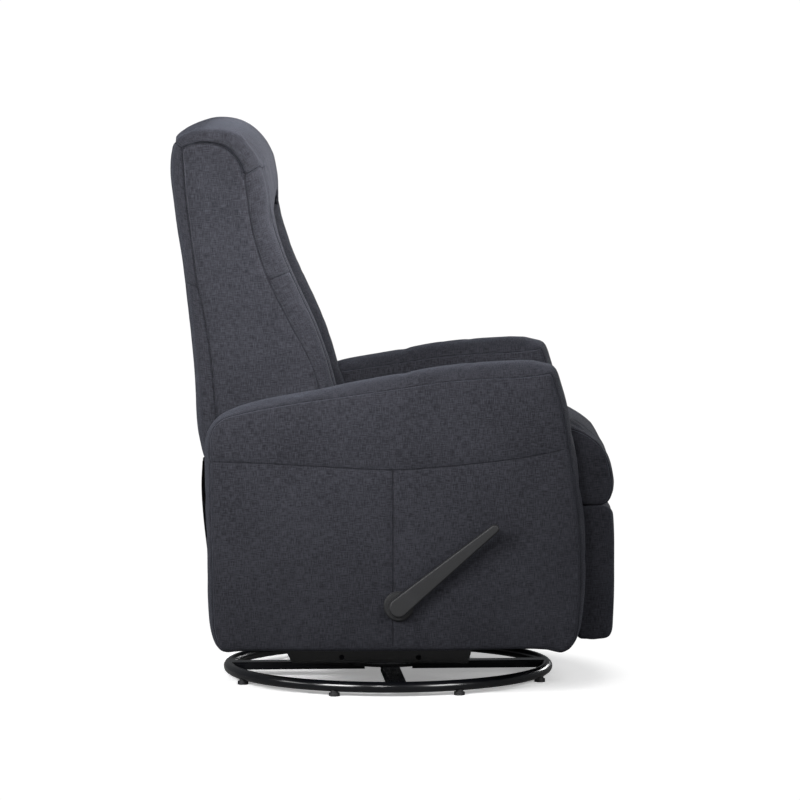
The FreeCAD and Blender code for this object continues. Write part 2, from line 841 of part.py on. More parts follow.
def pivot_pins():
    """Fixed pivots on the mechanism plates, for the footrest links and for the back."""
    plate_outer = plate_inner + steel
    pins = headed_pins(
        "link_pivot", (main_pivot, swing_pivot), link_inner - 2, plate_outer, link_inner - 2,
        link_inner - 0.4, size("link_pin"))
    pins += headed_pins(
        "recline_pivot", ((-size("recline_rear"), size("recline_up")),), recline_inner - 4, plate_outer,
        recline_inner - 4, recline_inner - 0.6, size("glide_pin"))
    return group("pivot_pins", pins)


recline_inner = plate_inner - 2 - steel


def mechanism_plate(side, word):
    """Steel plate on the seat rail: footrest pivots, handle shaft and the ear for the back."""
    top = size("rail_top")
    ear = -size("recline_rear")
    ear_up = size("recline_up")
    shaft_low = size("shaft_up") - 18
    shaft = size("shaft_forward")
    front = front_rail_front + 3
    outline = rounded(side_view([
        (ear - 22, rail_low, 6), (ear - 22, ear_up + 20, 18), (ear + 22, ear_up + 20, 18), (ear + 28, top, 8),
        (front, top, 5), (front, top - 45, 10), (main_pivot[0] + 22, top - 54, 20),
        (swing_pivot[0] + 22, swing_pivot[1] - 14, 10), (swing_pivot[0] - 18, swing_pivot[1] - 16, 10),
        (swing_pivot[0] - 60, rail_low, 20), (shaft + 40, rail_low, 15), (shaft + 26, shaft_low, 18),
        (shaft - 26, shaft_low, 18), (shaft - 40, rail_low, 15),
    ]))
    holes = [
        (*main_pivot, size("link_pin")), (*swing_pivot, size("link_pin")), (ear, ear_up, size("glide_pin")),
        (shaft, size("shaft_up"), size("shaft_radius") + pin_clearance),
    ]
    return plate("mechanism_plate_" + word, side, plate_inner, steel, outline, holes)


def cross_tube():
    """Tube that joins the left and right main links; the drive rod pulls on it."""
    body = rod_across("cross_tube_bar", -link_inner, link_inner, size("cross_tube"), *tube_place)
    spigots = [
        pin("cross_tube_spigot_" + word, side, link_inner - 4, link_inner + size("link_steel"),
            size("link_pin"), *tube_place) for side, word in SIDES]
    return join("cross_tube", [body] + spigots)


def drive_rod():
    """Rod from the crank pin to the cross tube, on the handle's side."""
    start = V(-crank_place[0], crank_place[1], 0)
    end = V(-tube_place[0], tube_place[1], 0)
    eye = float(size("cross_tube")) + 5
    outline = hull(start, 10, end, eye)
    holes = [(*crank_place, link_hole), (*tube_place, size("cross_tube") + size("open_pivot_clearance"))]
    return plate("drive_rod", RIGHT, rod_inner, size("link_steel"), outline, holes)


def crank_arm():
    """Arm on the handle shaft with the pin that pulls the drive rod."""
    start = V(-float(shaft_place[0]), float(shaft_place[1]), 0)
    end = V(-crank_place[0], crank_place[1], 0)
    arm = plate("crank_arm_plate", RIGHT, crank_inner, steel, hull(start, 14, end, 10))
    stud = pin("crank_stud", RIGHT, rod_inner - 1, crank_inner, size("link_pin"), *crank_place)
    return join("crank_arm", [arm, stud])


def handle_shaft():
    shaft = pin("handle_shaft", RIGHT, crank_inner + steel, handle_inner, size("shaft_radius"), *shaft_place)
    shaft.Label = "handle_shaft"
    return shaft


handle_inner = size("overall_width") / 2 + size("handle_stand_off")


def handle_frame():
    """Placement whose x runs along the lever and whose z points away from the arm."""
    lift = math.radians(float(size("handle_angle")))
    along = V(0, -math.cos(lift), math.sin(lift))
    outward = V(-1, 0, 0)
    across = outward.cross(along)
    turn = FreeCAD.Rotation(along, across, outward, "ZXY")
    return FreeCAD.Placement(V(-float(handle_inner), -float(shaft_place[0]), float(shaft_place[1])), turn)


def pull_handle():
    """Tapered lever, bent outwards towards its tip."""
    reach = float(size("handle_reach"))
    wide = float(size("handle_wide"))
    narrow = float(size("handle_narrow"))
    thick = float(size("handle_thick"))
    bend = float(size("handle_bend"))
    straight = 34
    face = new_body("handle_face")
    add_pad(face, new_sketch(face, "XY_Plane", 0, [hull(V(0, 0, 0), wide, V(reach, 0, 0), narrow)]), 60)
    edge = new_body("handle_edge")
    band = rounded([
        (-wide - 5, 0, 0), (straight, 0, 60), (reach + 12, bend, 0), (reach + 12, bend + thick * 0.8, 0),
        (straight, thick, 60), (-wide - 5, thick, 0),
    ])
    add_pad(edge, new_sketch(edge, "XZ_Plane", -40, [band]), 80)
    lever = doc.addObject("Part::Common", "handle_lever")
    lever.Base = face
    lever.Tool = edge
    for piece in (face, edge):
        piece.Placement = handle_frame()
    doc.recompute()
    smooth = doc.addObject("Part::Fillet", "pull_handle")
    smooth.Base = lever
    smooth.Edges = [(place, 3.5, 3.5) for place in rim_edges(lever.Shape)]
    smooth.Label = "pull_handle"
    return smooth


def rim_edges(shape):
    """Numbers of the edges between the lever's outer face and its sides."""
    rims = []
    for place, edge in enumerate(shape.Edges, start=1):
        beside = [face for face in shape.Faces if any(edge.isSame(rim) for rim in face.Edges)]
        outward = [face_out(face) for face in beside]
        if any(outward) and not all(outward):
            rims.append(place)
    return rims


def face_out(face):
    """True for a face that looks away from the chair on the handle's side."""
    u_low, u_high, v_low, v_high = face.ParameterRange
    return face.normalAt((u_low + u_high) / 2, (v_low + v_high) / 2).x < -0.8


def footrest_brackets():
    """Plates on the board's rear face that carry the long and guide links."""
    board_rear = board_front - size("board_thickness")
    low = guide_front[1] - 16
    high = long_front[1] + 15
    outline = rounded(side_view([
        (board_rear, low - 22, 0), (board_rear, high, 0), (long_front[0] - 14, high, 12),
        (guide_front[0] - 15, guide_front[1] + 8, 12), (guide_front[0] - 13, low, 12),
    ]))
    pairs = []
    for side, word in SIDES:
        name = "footrest_bracket_" + word
        holes = [(*long_front, size("link_pin")), (*guide_front, size("link_pin"))]
        web = plate(name + "_web", side, link_inner, size("link_steel"), outline, holes)
        tab = block(name + "_tab", side_range(side, link_inner - 22, link_inner),
                    (board_rear - 3, board_rear), (low - 22, guide_front[1] - 24))
        top_tab = block(name + "_top_tab", side_range(side, link_inner - 22, link_inner),
                        (board_rear - 3, board_rear), (high - 16, high))
        pairs.append(join(name, [web, tab, top_tab]))
    return group("footrest_brackets", pairs)


board_front = size("pad_rear")


def footrest_board():
    """Board that the pad is upholstered on; its edges stay under the cover."""
    half = inside - 9
    board = block("footrest_board", (-half, half), (board_front - size("board_thickness"), board_front),
                  (size("pad_bottom") + 10, size("seat_base") - 11))
    return board


# Soft pieces: lofts across the chair through side outlines, drawn in at their ends

REAR_BLEND = 60


def drawn_in(points, amount, rear_at, free_base):
    """Side outline with its free faces moved in; the rear face, and a base that rests, stay put."""
    middle_up = (max(p[1] for p in points) + min(p[1] for p in points)) / 2
    half_up = max(p[1] for p in points) - middle_up
    moved = []
    for forward, up, radius in points:
        clear = min(1.0, max(0.0, (forward - rear_at(up)) / REAR_BLEND))
        lift = max(0.0, amount) * (up - middle_up) / half_up
        if up < middle_up and not free_base:
            lift = 0
        moved.append((forward - amount * clear, up - lift, radius))
    return moved


def cushion(name, low_x, high_x, outline, rear_at, draw_in, crown=0, shoulder=26, free_base=True):
    """Soft block from low_x to high_x: its ends are drawn in and its front is crowned."""
    points = [(float(f), float(u), r) for f, u, r in outline]
    body = new_body(name)
    low, high = float(low_x), float(high_x)
    middle = (low + high) / 2
    stations = (
        (low, draw_in), (low + shoulder * 0.3, draw_in * 0.4), (low + shoulder, 0), (middle, -crown),
        (high - shoulder, 0), (high - shoulder * 0.3, draw_in * 0.4), (high, draw_in))
    drawings = []
    for x, amount in stations:
        shape = rounded(side_view(drawn_in(points, amount, rear_at, free_base)))
        drawings.append(new_sketch(body, "YZ_Plane", x, [shape]))
    loft = body.newObject("PartDesign::AdditiveLoft", name + "_loft")
    loft.Profile = drawings[0]
    loft.Sections = drawings[1:]
    loft.Ruled = True
    return body


def seat_cushion():
    half = inside - size("soft_gap")
    base = size("seat_base")
    front = size("seat_front") - 3
    top = size("seat_top")
    rear = -150
    outline = [(rear, base, 14), (rear, top - 50, 40), (60, top - 16, 900), (front, top, 84), (front, base, 36)]
    return cushion("seat_cushion", -half, half, outline, lambda up: rear, 9, crown=3, free_base=False)


def footrest_pad():
    half = inside - 3
    rear = size("pad_rear") + 0.3
    front = size("pad_front")
    low = size("pad_bottom")
    top = size("seat_base") - 2
    outline = [(rear, low + 4, 8), (front - 5, low, 28), (front - 1, top - 120, 1500),
               (front - 6, top, 16), (rear, top, 6)]
    return cushion("footrest_pad", -half, half, outline, lambda up: float(rear), 5, shoulder=16)


LEAN_KNOTS = (0.0, 0.3, 0.55, 0.78, 1.0)


def lean_at(share):
    return -float(size("back_low_rear")) - float(size("back_lean")) * share ** 1.35


def knot_up(share):
    low = float(size("back_low"))
    return low + share * (float(size("back_top")) - 88 - low)


def rear_line(up):
    """How far forward the back's rear face lies at a height, along short straight runs."""
    last = len(LEAN_KNOTS) - 1
    for place in range(last):
        low, high = LEAN_KNOTS[place], LEAN_KNOTS[place + 1]
        if up <= knot_up(high) or place == last - 1:
            share = (up - knot_up(low)) / (knot_up(high) - knot_up(low))
            if place == 0:
                share = max(0.0, share)
            return lean_at(low) + share * (lean_at(high) - lean_at(low))


def behind_band(low, high, near, far):
    """Outline of a layer that follows the back's rear face, near and far in from it."""
    low, high = float(low), float(high)
    heights = [low] + [knot_up(k) for k in LEAN_KNOTS if low + 1 < knot_up(k) < high - 1] + [high]
    rear = [(rear_line(up) + near, up, 0) for up in heights]
    front = [(rear_line(up) + far, up, 0) for up in reversed(heights)]
    return rounded(side_view(rear + front))


back_half = inside - size("back_side")
frame_near = size("back_skin") + 0.5
frame_far = size("back_skin") + size("back_frame") - 0.5
cushion_near = float(size("back_skin") + size("back_frame")) + 2.5
post_top = size("back_top") - 108
cover_top = size("back_top") - 52
pillow_low = size("back_top") - 141


def layer_between(name, low_x, high_x, low, high, near, far):
    body = new_body(name)
    outline = behind_band(low, high, float(near), float(far))
    add_pad(body, new_sketch(body, "YZ_Plane", low_x, [outline]), high_x - low_x)
    return body


def back_cover():
    """Upholstered tray that closes the back behind and beside its frame."""
    tray = layer_between("back_cover_tray", -back_half, back_half, size("back_low"), cover_top, 0,
                         size("back_skin") + size("back_frame"))
    hollow_half = back_half - 15
    hollow = layer_between("back_cover_hollow", -hollow_half, hollow_half, size("back_low") - 20,
                           post_top + 4, size("back_skin"), size("back_skin") + size("back_frame") + 20)
    return cut("back_cover", tray, [hollow])


def back_posts():
    outer = recline_inner
    return group("back_posts", [
        layer_between("back_post_" + word, *side_range(side, outer - size("post_width"), outer),
                      size("back_low") - 46, post_top, frame_near, frame_far) for side, word in SIDES])


def back_rails():
    half = recline_inner - size("post_width")
    span = float(post_top) - float(size("back_low"))
    lows = [float(size("back_low")) - 30 + span * share for share in (0, 0.5, 0.955)]
    return group("back_rails", [
        layer_between("back_rail_" + str(number), -half, half, low, low + 52, frame_near, frame_far)
        for number, low in enumerate(lows, start=1)])


def back_webbing():
    """Elastic straps across the front of the back frame."""
    half = recline_inner
    span = float(post_top) - float(size("back_low"))
    lows = [float(size("back_low")) + span * share for share in (0.14, 0.3, 0.62, 0.78)]
    near = frame_far + 0.1
    return group("back_webbing", [
        layer_between("back_strap_" + str(number), -half, half, low, low + 50, near, near + 1.6)
        for number, low in enumerate(lows, start=1)])


def recline_brackets():
    """Plates that carry the back posts on the recline pivots."""
    ear = -size("recline_rear")
    up = size("recline_up")
    rear = rear_line(float(up) + 90) + float(frame_near)
    front = rear_line(float(up) + 90) + float(frame_far)
    low = float(up) + 28
    outline = rounded(side_view([
        (ear + 16, up - 15, 14), (ear + 15, up + 15, 14), (front, low + 42, 14), (front, low + 96, 6),
        (rear + 3, low + 96, 6), (rear + 3, low, 14), (ear - 16, up - 15, 14),
    ]))
    holes = [(ear, up, size("glide_pin") + pin_clearance)]
    return group("recline_brackets", [
        plate("recline_bracket_" + word, side, recline_inner, steel, outline, holes) for side, word in SIDES])


def cushion_rear(up):
    return rear_line(up) + cushion_near


def bolster_outline(drop=0.0):
    """Side bolster from the frame to its front edge; drop moves the front edge back."""
    low = float(size("back_low")) + 10
    top = float(pillow_low) - 3
    seat_up = float(size("seat_top")) - 35
    knots = [knot_up(k) for k in reversed(LEAN_KNOTS) if low < knot_up(k) < top]
    return [
        (cushion_rear(low), low, 0), (-172, low, 12), (-158, seat_up, 10), (-96 - drop, seat_up + 12, 26),
        (-138 - drop, seat_up + 177, 900), (-216 - drop, top - 40, 300), (-232 - drop, top, 18),
        (cushion_rear(top), top, 0)] + [(cushion_rear(up), up, 0) for up in knots]


def side_bolster(side, word):
    low_x, high_x = side_range(side, back_half * 0.64, back_half - 1)
    return cushion("bolster_" + word, low_x, high_x, bolster_outline(), cushion_rear, 10, shoulder=24)


def lumbar_cushion():
    half = back_half * 0.64 - size("soft_gap")
    return cushion("lumbar_cushion", -half, half, bolster_outline(22), cushion_rear, 8, crown=6, shoulder=40)


def head_pillow():
    """Pillow that wraps over the top of the back, cut to sit on the frame and the cover."""
    top = float(size("back_top"))
    low = float(pillow_low)
    cover = float(cover_top)
    outline = [
        (-222, low + 2, 20), (-206, low + 60, 70), (-226, top - 22, 60), (-292, top - 2, 60),
        (-345, top - 4, 40), (-384, top - 36, 18), (rear_line(cover) + 1, cover - 14, 3),
        (cushion_rear(low + 30), cover - 14, 3), (cushion_rear(low), low, 5)]
    half = back_half - 1
    whole = cushion("head_pillow_whole", -half, half, outline, cushion_rear, 5, shoulder=24)
    inside_cover = layer_between("head_pillow_seat", -half - 5, half + 5, low - 20, cover + 0.3, -30,
                                 size("back_skin") + size("back_frame") + 0.3)
    return cut("head_pillow", whole, [inside_cover])


def rear_flap():
    """Cloth panel that closes the gap under the back behind the seat."""
    low = -(size("arm_rear") - 2)
    middle = [(low, 242), (low - 6, 269), (low - 13, 324), (low - 16, 378), (low - 13, 416)]
    thick = 3
    outer = [(float(f) - thick, up) for f, up in middle]
    inner = [(float(f), up) for f, up in reversed(middle)]
    bend = 90
    radii = (0, bend, bend, bend, 0)
    outline = [(f, up, r) for (f, up), r in zip(outer, radii)]
    outline += [(f, up, r) for (f, up), r in zip(inner, radii)]
    half = back_half - 5
    body = new_body("rear_flap")
    add_pad(body, new_sketch(body, "YZ_Plane", -half, [rounded(side_view(outline))]), half * 2)
    return body


# Seat springs: flat zigzag wires between the rear and front cross rails

def spring_path(lateral, up):
    """Half turns joined by straight runs, swinging either side of the spring's line."""
    start = -(rear_rail_rear + 15)
    end = -(float(front_rail_front) - 12)
    turns = 16
    swing = 15.0
    step = (end - start) / (turns + 1)
    bend = abs(step) / 2
    place = V(lateral, start, up)
    edges = []
    side_sign = 1
    corner = V(lateral + swing * side_sign, start, up)
    edges.append(Part.LineSegment(place, corner))
    place = corner
    for turn in range(turns + 1):
        after = V(place.x, place.y + step, up)
        middle = V(place.x + side_sign * bend, place.y + step / 2, up)
        edges.append(Part.Arc(place, middle, after))
        side_sign = -side_sign
        place = after
        reach = swing if turn < turns else 0
        corner = V(lateral + reach * side_sign, place.y, up)
        edges.append(Part.LineSegment(place, corner))
        place = corner
    return Part.Wire([edge.toShape() for edge in edges])


def spring_lines():
    count = int(float(size("spring_count")))
    spacing = float(size("spring_spacing"))
    return [(place - (count - 1) / 2) * spacing for place in range(count)]


def seat_springs():
    radius = float(size("spring_wire")) / 2
    up = float(size("rail_top")) + radius + 0.1
    springs = []
    for lateral in spring_lines():
        path = spring_path(lateral, up)
        start = path.Vertexes[0].Point
        section = Part.Wire([Part.makeCircle(radius, start, V(1, 0, 0))])
        springs.append(path.makePipeShell([section], True, True))
    feature = doc.addObject("Part::Feature", "seat_springs")
    feature.Label = "seat_springs"
    feature.Shape = Part.Compound(springs)
    return feature


def spring_clips():
    """Steel clips that hold the springs' ends on the cross rails."""
    clips = []
    top = size("rail_top")
    wire = float(size("spring_wire")) + 0.3
    ends = (rear_rail_rear + 15, float(front_rail_front) - 12)
    for number, lateral in enumerate(spring_lines(), start=1):
        for place, forward in zip(("rear", "front"), ends):
            name = "spring_clip_" + place + str(number)
            outer = block(name + "_outer", (lateral - 14, lateral - 4), (forward - 8, forward + 8),
                          (top, top + wire + 1.5))
            groove = block(name + "_groove", (lateral - 15, lateral - 3), (forward - 5, forward + 5),
                           (top - 1, top + wire))
            clips.append(cut(name, outer, [groove]))
    return group("spring_clips", clips)


def build_all():
    pieces = [
        base_ring(), base_spokes(), foot_pads(), base_hub(),
        race("lower_race", hub_top, ball_up), bearing_balls(),
        race("upper_race", hub_top + size("race_height") + size("race_gap"), ball_up),
        swivel_bolt(), glide_cross_plate(), upper_glide_pins(),
        lower_glide_pins(), hanger_screws(), rear_stretcher(), handle_escutcheon(),
        pivot_pins(), seat_springs(), spring_clips(), seat_cushion(), rear_flap(),
        back_posts(), back_rails(), recline_brackets(), back_webbing(), back_cover(), head_pillow(),
        lumbar_cushion(), pull_handle(), handle_shaft(), crank_arm(), drive_rod(),
        main_links(), main_link_pins(), cross_tube(), swing_links(), long_links(), long_link_pins(),
        guide_links(), footrest_brackets(), footrest_pins(), footrest_board(), footrest_pad(),
    ]
    pieces += cross_rails()
    for place, forward in glide_pivots:
        pieces.append(glide_links(place + "_glide_links", forward))
    for side, word in SIDES:
        pieces += [
            glide_side_plate(side, word), hanger_plate(side, word), seat_rail(side, word),
            arm_panel(side, word), padded_arm(side, word), mechanism_plate(side, word),
            side_bolster(side, word),
        ]
    return pieces


def check_all(pieces):
    for item in doc.Objects:
        if "Invalid" in item.State or "Error" in item.State:
            raise RuntimeError("failed: " + item.Label + " " + str(item.State))
    for piece in pieces:
        if piece.Shape.isNull() or not piece.Shape.isValid():
            raise RuntimeError("bad shape: " + piece.Label)


def write_all(pieces):
    os.makedirs("parts", exist_ok=True)
    for piece in pieces:
        piece.Shape.exportStep("parts/" + piece.Label + ".step")


all_pieces = build_all()
doc.recompute()
check_all(all_pieces)
write_all(all_pieces)
print("pieces", len(all_pieces))
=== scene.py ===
"""Looks of the swivel glider recliner: sewn upholstery, finishes, camera and light.

Side outlines are (forward, up) in millimetres: forward is -Y and up is Z. Lateral distances are
from the middle plane; the release handle is on the -X side. Meshes are in metres.
"""

import json
import math

import bmesh
import bpy
import numpy as np
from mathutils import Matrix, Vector, kdtree, noise


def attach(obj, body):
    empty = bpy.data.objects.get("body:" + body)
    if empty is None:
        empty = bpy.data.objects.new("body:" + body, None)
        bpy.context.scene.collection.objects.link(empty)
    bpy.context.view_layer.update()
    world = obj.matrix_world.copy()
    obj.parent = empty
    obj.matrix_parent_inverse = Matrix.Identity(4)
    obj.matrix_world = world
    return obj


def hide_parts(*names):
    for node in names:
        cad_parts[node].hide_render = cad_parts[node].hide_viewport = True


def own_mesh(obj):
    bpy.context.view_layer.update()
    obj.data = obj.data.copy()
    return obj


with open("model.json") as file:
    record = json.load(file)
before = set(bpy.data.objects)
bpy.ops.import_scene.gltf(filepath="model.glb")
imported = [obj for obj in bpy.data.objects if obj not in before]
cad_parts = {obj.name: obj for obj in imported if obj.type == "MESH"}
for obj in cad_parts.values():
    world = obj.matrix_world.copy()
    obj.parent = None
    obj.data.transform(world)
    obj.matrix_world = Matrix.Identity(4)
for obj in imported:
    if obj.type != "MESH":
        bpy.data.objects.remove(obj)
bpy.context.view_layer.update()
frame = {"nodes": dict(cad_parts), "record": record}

scene = bpy.context.scene
MM = 0.001
CELL = 8.0
WELD = 0.0006
SEAM_STEP = 0.0015
SEAM_FAR = 0.05
RIM_CRISPNESS = 0.7
RIM_DEPTHS = (0.003, 0.01, 0.025)
STITCH = 0.0045
FILL_FRAMES = 20
SIDES = ((1, "left"), (-1, "right"))


# Lines and grids

def smooth(points):
    """Dense centripetal Catmull-Rom line through the points."""
    p = np.array(points, float)
    p = np.vstack([2 * p[0] - p[1], p, 2 * p[-1] - p[-2]])
    runs = []
    for a, b, c, d in zip(p[:-3], p[1:-2], p[2:-1], p[3:]):
        t0 = 0.0
        t1 = t0 + math.sqrt(np.linalg.norm(b - a))
        t2 = t1 + math.sqrt(np.linalg.norm(c - b))
        t3 = t2 + math.sqrt(np.linalg.norm(d - c))
        t = np.linspace(t1, t2, 12, endpoint=False)[:, None]
        ab = ((t1 - t) * a + (t - t0) * b) / (t1 - t0)
        bc = ((t2 - t) * b + (t - t1) * c) / (t2 - t1)
        cd = ((t3 - t) * c + (t - t2) * d) / (t3 - t2)
        abc = ((t2 - t) * ab + (t - t0) * bc) / (t2 - t0)
        bcd = ((t3 - t) * bc + (t - t1) * cd) / (t3 - t1)
        runs.append(((t2 - t) * abc + (t - t1) * bcd) / (t2 - t1))
    return np.vstack(runs + [p[-2:-1]])


def spaced(line, count):
    """The line resampled to count even steps."""
    line = np.array(line, float)
    reach = np.concatenate([[0], np.cumsum(np.linalg.norm(np.diff(line, axis=0), axis=1))])
    at = np.linspace(0, reach[-1], count + 1)
    return np.column_stack([np.interp(at, reach, line[:, k]) for k in range(line.shape[1])])


def line(points, count):
    return spaced(smooth(points), count)


def part_of(whole, low, high, axis, count):
    """Even steps along the part of a line whose coordinate on the axis lies between two values."""
    keys = whole[:, axis]
    order = np.argsort(keys)
    inside = whole[(keys > min(low, high)) & (keys < max(low, high))]
    first, last = [
        np.array([np.interp(value, keys[order], whole[order, k]) for k in range(whole.shape[1])])
        for value in (low, high)]
    if len(inside) and (inside[0, axis] > inside[-1, axis]) != (low > high):
        inside = inside[::-1]
    return spaced(np.vstack([first, inside, last]), count)


def coons(low, high, start, end):
    """Grid whose first and last rows are low and high, and whose side columns are start and end."""
    v = np.linspace(0, 1, len(start))[:, None, None]
    u = np.linspace(0, 1, len(low))[None, :, None]
    corners = (
        (1 - u) * (1 - v) * low[0] + u * (1 - v) * low[-1] + (1 - u) * v * high[0] + u * v * high[-1])
    return (1 - v) * low[None] + v * high[None] + (1 - u) * start[:, None] + u * end[:, None] - corners


def lift(grid, lateral):
    """Points in metres from side-view (forward, up) and lateral millimetres."""
    grid = np.asarray(grid, float)
    x = np.broadcast_to(np.asarray(lateral, float), grid.shape[:-1])
    return np.stack([x, -grid[..., 0], grid[..., 1]], axis=-1) * MM


def outward(loop):
    """Unit normals that point out of a closed side-view line."""
    along = np.roll(loop, -1, axis=0) - np.roll(loop, 1, axis=0)
    normal = np.column_stack([along[:, 1], -along[:, 0]])
    normal /= np.linalg.norm(normal, axis=1)[:, None]
    area = np.sum(loop[:, 0] * np.roll(loop[:, 1], -1) - np.roll(loop[:, 0], -1) * loop[:, 1])
    return normal if area > 0 else -normal


# Sewn covers

class Cover:
    """A sewn cover: panels that meet along seams, made into one mesh."""

    def __init__(self, name):
        self.name = name
        self.points, self.faces, self.cloth, self.seams = [], [], [], []
        self.count = 0

    def panel(self, grid, cloth=None):
        rows, cols = grid.shape[:2]
        if cloth is None:
            across = np.linalg.norm(np.diff(grid, axis=1), axis=2).mean(0)
            along = np.linalg.norm(np.diff(grid, axis=0), axis=2).mean(1)
            u = np.concatenate([[0], np.cumsum(across)])
            v = np.concatenate([[0], np.cumsum(along)])
            cloth = np.stack(np.meshgrid(u, v), axis=-1)
        shift = 0.37 * (len(self.points) + len(self.name))
        self.points.append(grid.reshape(-1, 3))
        self.cloth.append(cloth.reshape(-1, 2) + shift)
        index = self.count + np.arange(rows * cols).reshape(rows, cols)
        quads = np.stack([index[:-1, :-1], index[:-1, 1:], index[1:, 1:], index[1:, :-1]], axis=-1)
        self.faces.append(quads.reshape(-1, 4))
        self.count += rows * cols

    def tuck(self, row, move):
        """Strip that runs on from a row of points, in under the next cover."""
        self.panel(np.stack([row, row + 0.3 * np.array(move), row + np.array(move)]))

    def seam(self, points):
        self.seams.append(np.asarray(points, float))

    def sew(self):
        """One closed mesh with a cloth map in metres and the distance to the nearest seam."""
        points = np.vstack(self.points)
        cloth = np.vstack(self.cloth)
        mesh = bpy.data.meshes.new(self.name)
        work = bmesh.new()
        verts = [work.verts.new(p) for p in points]
        layer = work.loops.layers.uv.new("cloth")
        for quad in np.vstack(self.faces):
            if len(set(quad)) < 4:
                continue
            face = work.faces.new([verts[k] for k in quad])
            face.smooth = True
            for corner, k in zip(face.loops, quad):
                corner[layer].uv = cloth[k]
        bmesh.ops.remove_doubles(work, verts=work.verts, dist=WELD)
        close_inside(work, layer)
        bmesh.ops.recalc_face_normals(work, faces=work.faces)
        work.to_mesh(mesh)
        work.free()
        obj = bpy.data.objects.new(self.name, mesh)
        scene.collection.objects.link(obj)
        mark_seams(obj, self.seams)
        return obj

    def open_sheet(self, name):
        """The panels as they are, with no lining and no seams."""
        mesh = bpy.data.meshes.new(name)
        mesh.from_pydata(np.vstack(self.points).tolist(), [], np.vstack(self.faces).tolist())
        layer = mesh.uv_layers.new(name="cloth")
        corners = np.array([loop.vertex_index for loop in mesh.loops])
        layer.data.foreach_set("uv", np.vstack(self.cloth)[corners].astype(np.float32).ravel())
        mesh.polygons.foreach_set("use_smooth", [True] * len(mesh.polygons))
        obj = bpy.data.objects.new(name, mesh)
        scene.collection.objects.link(obj)
        return obj


def close_inside(work, layer):
    """Closes the open rims with a cone that leads in behind the panels, and keeps the rims crisp."""
    crisp = work.edges.layers.float.new("crease_edge")
    rims = [edge for edge in work.edges if edge.is_boundary]
    for edge in rims:
        edge[crisp] = RIM_CRISPNESS
    while rims:
        group, front = {}, [rims[0].verts[0]]
        while front:
            vert = front.pop()
            group[vert] = True
            beside = [edge.other_vert(vert) for edge in vert.link_edges if edge.is_boundary]
            front += [other for other in beside if other not in group]
        loop = [edge for edge in rims if edge.verts[0] in group]
        rims = [edge for edge in rims if edge.verts[0] not in group]
        centre = sum((vert.co for vert in group), Vector()) / len(group)
        ring = {vert: vert for vert in group}
        for depth in RIM_DEPTHS:
            inner = {v: work.verts.new(v.co + (centre - v.co).normalized() * depth) for v in group}
            for edge in loop:
                a, b = edge.verts
                work.faces.new([ring[a], ring[b], inner[b], inner[a]])
            ring = inner
    inside = [edge for edge in work.edges if edge.is_boundary]
    if inside:
        filled = bmesh.ops.holes_fill(work, edges=inside, sides=0)
        bmesh.ops.triangulate(work, faces=filled["faces"])
    for face in work.faces:
        face.smooth = True
        for corner in face.loops:
            if corner[layer].uv.length == 0:
                corner[layer].uv = (corner.vert.co.y, corner.vert.co.z)


def coordinates(obj):
    co = np.zeros(len(obj.data.vertices) * 3)
    obj.data.vertices.foreach_get("co", co)
    return co.reshape(-1, 3)


def normals(obj):
    out = np.zeros(len(obj.data.vertices) * 3)
    obj.data.vertex_normals.foreach_get("vector", out)
    return out.reshape(-1, 3)


def put(obj, co):
    obj.data.vertices.foreach_set("co", co.astype(np.float32).ravel())
    obj.data.update()


def mark_seams(obj, seams):
    """Stores each point's distance to the nearest seam, and its place along that seam."""
    dense, places = [], []
    for points in seams:
        steps = max(2, int(np.linalg.norm(np.diff(points, axis=0), axis=1).sum() / SEAM_STEP))
        fine = spaced(points, steps)
        dense.append(fine)
        places.append(np.linspace(0, steps * SEAM_STEP, steps + 1))
    dense, places = np.vstack(dense), np.concatenate(places)
    tree = kdtree.KDTree(len(dense))
    for k, p in enumerate(dense):
        tree.insert(Vector(p), k)
    tree.balance()
    near = [tree.find(v.co) for v in obj.data.vertices]
    gaps = [min(n[2], SEAM_FAR) for n in near]
    for name, values in (("seam", gaps), ("along", [places[n[1]] for n in near])):
        attribute = obj.data.attributes.new(name, "FLOAT", "POINT")
        attribute.data.foreach_set("value", np.array(values, np.float32))


def seam_distance(obj):
    values = np.zeros(len(obj.data.vertices), np.float32)
    obj.data.attributes["seam"].data.foreach_get("value", values)
    return values.astype(float)


def fill(obj, held, pressure, cap, slack):
    """Cloth simulation with air inside: the cover swells between its seams, up to cap metres."""
    before = coordinates(obj)
    weights = np.round(np.clip(held, 0, 1), 2)
    group = obj.vertex_groups.new(name="held")
    for level in np.unique(weights):
        if level > 0:
            group.add(np.nonzero(weights == level)[0].tolist(), float(level), "REPLACE")
    cloth = obj.modifiers.new("Cloth", "CLOTH")
    wish = cloth.settings
    wish.quality = 5
    wish.mass = 0.15
    wish.tension_stiffness = 18
    wish.compression_stiffness = 18
    wish.shear_stiffness = 8
    wish.bending_stiffness = 1.5
    wish.use_pressure = True
    wish.uniform_pressure_force = pressure
    wish.shrink_min = -slack
    wish.vertex_group_mass = "held"
    wish.effector_weights.gravity = 0
    cloth.point_cache.frame_end = FILL_FRAMES
    for number in range(1, FILL_FRAMES + 1):
        scene.frame_set(number)
    shaped = obj.evaluated_get(bpy.context.evaluated_depsgraph_get())
    after = np.zeros(len(before) * 3)
    shaped.data.vertices.foreach_get("co", after)
    obj.modifiers.remove(cloth)
    obj.vertex_groups.clear()
    scene.frame_set(1)
    move = after.reshape(-1, 3) - before
    reach = np.linalg.norm(move, axis=1)
    scale = np.where(reach > 1e-9, cap * np.tanh(reach / cap) / np.maximum(reach, 1e-9), 0)
    put(obj, before + move * scale[:, None])


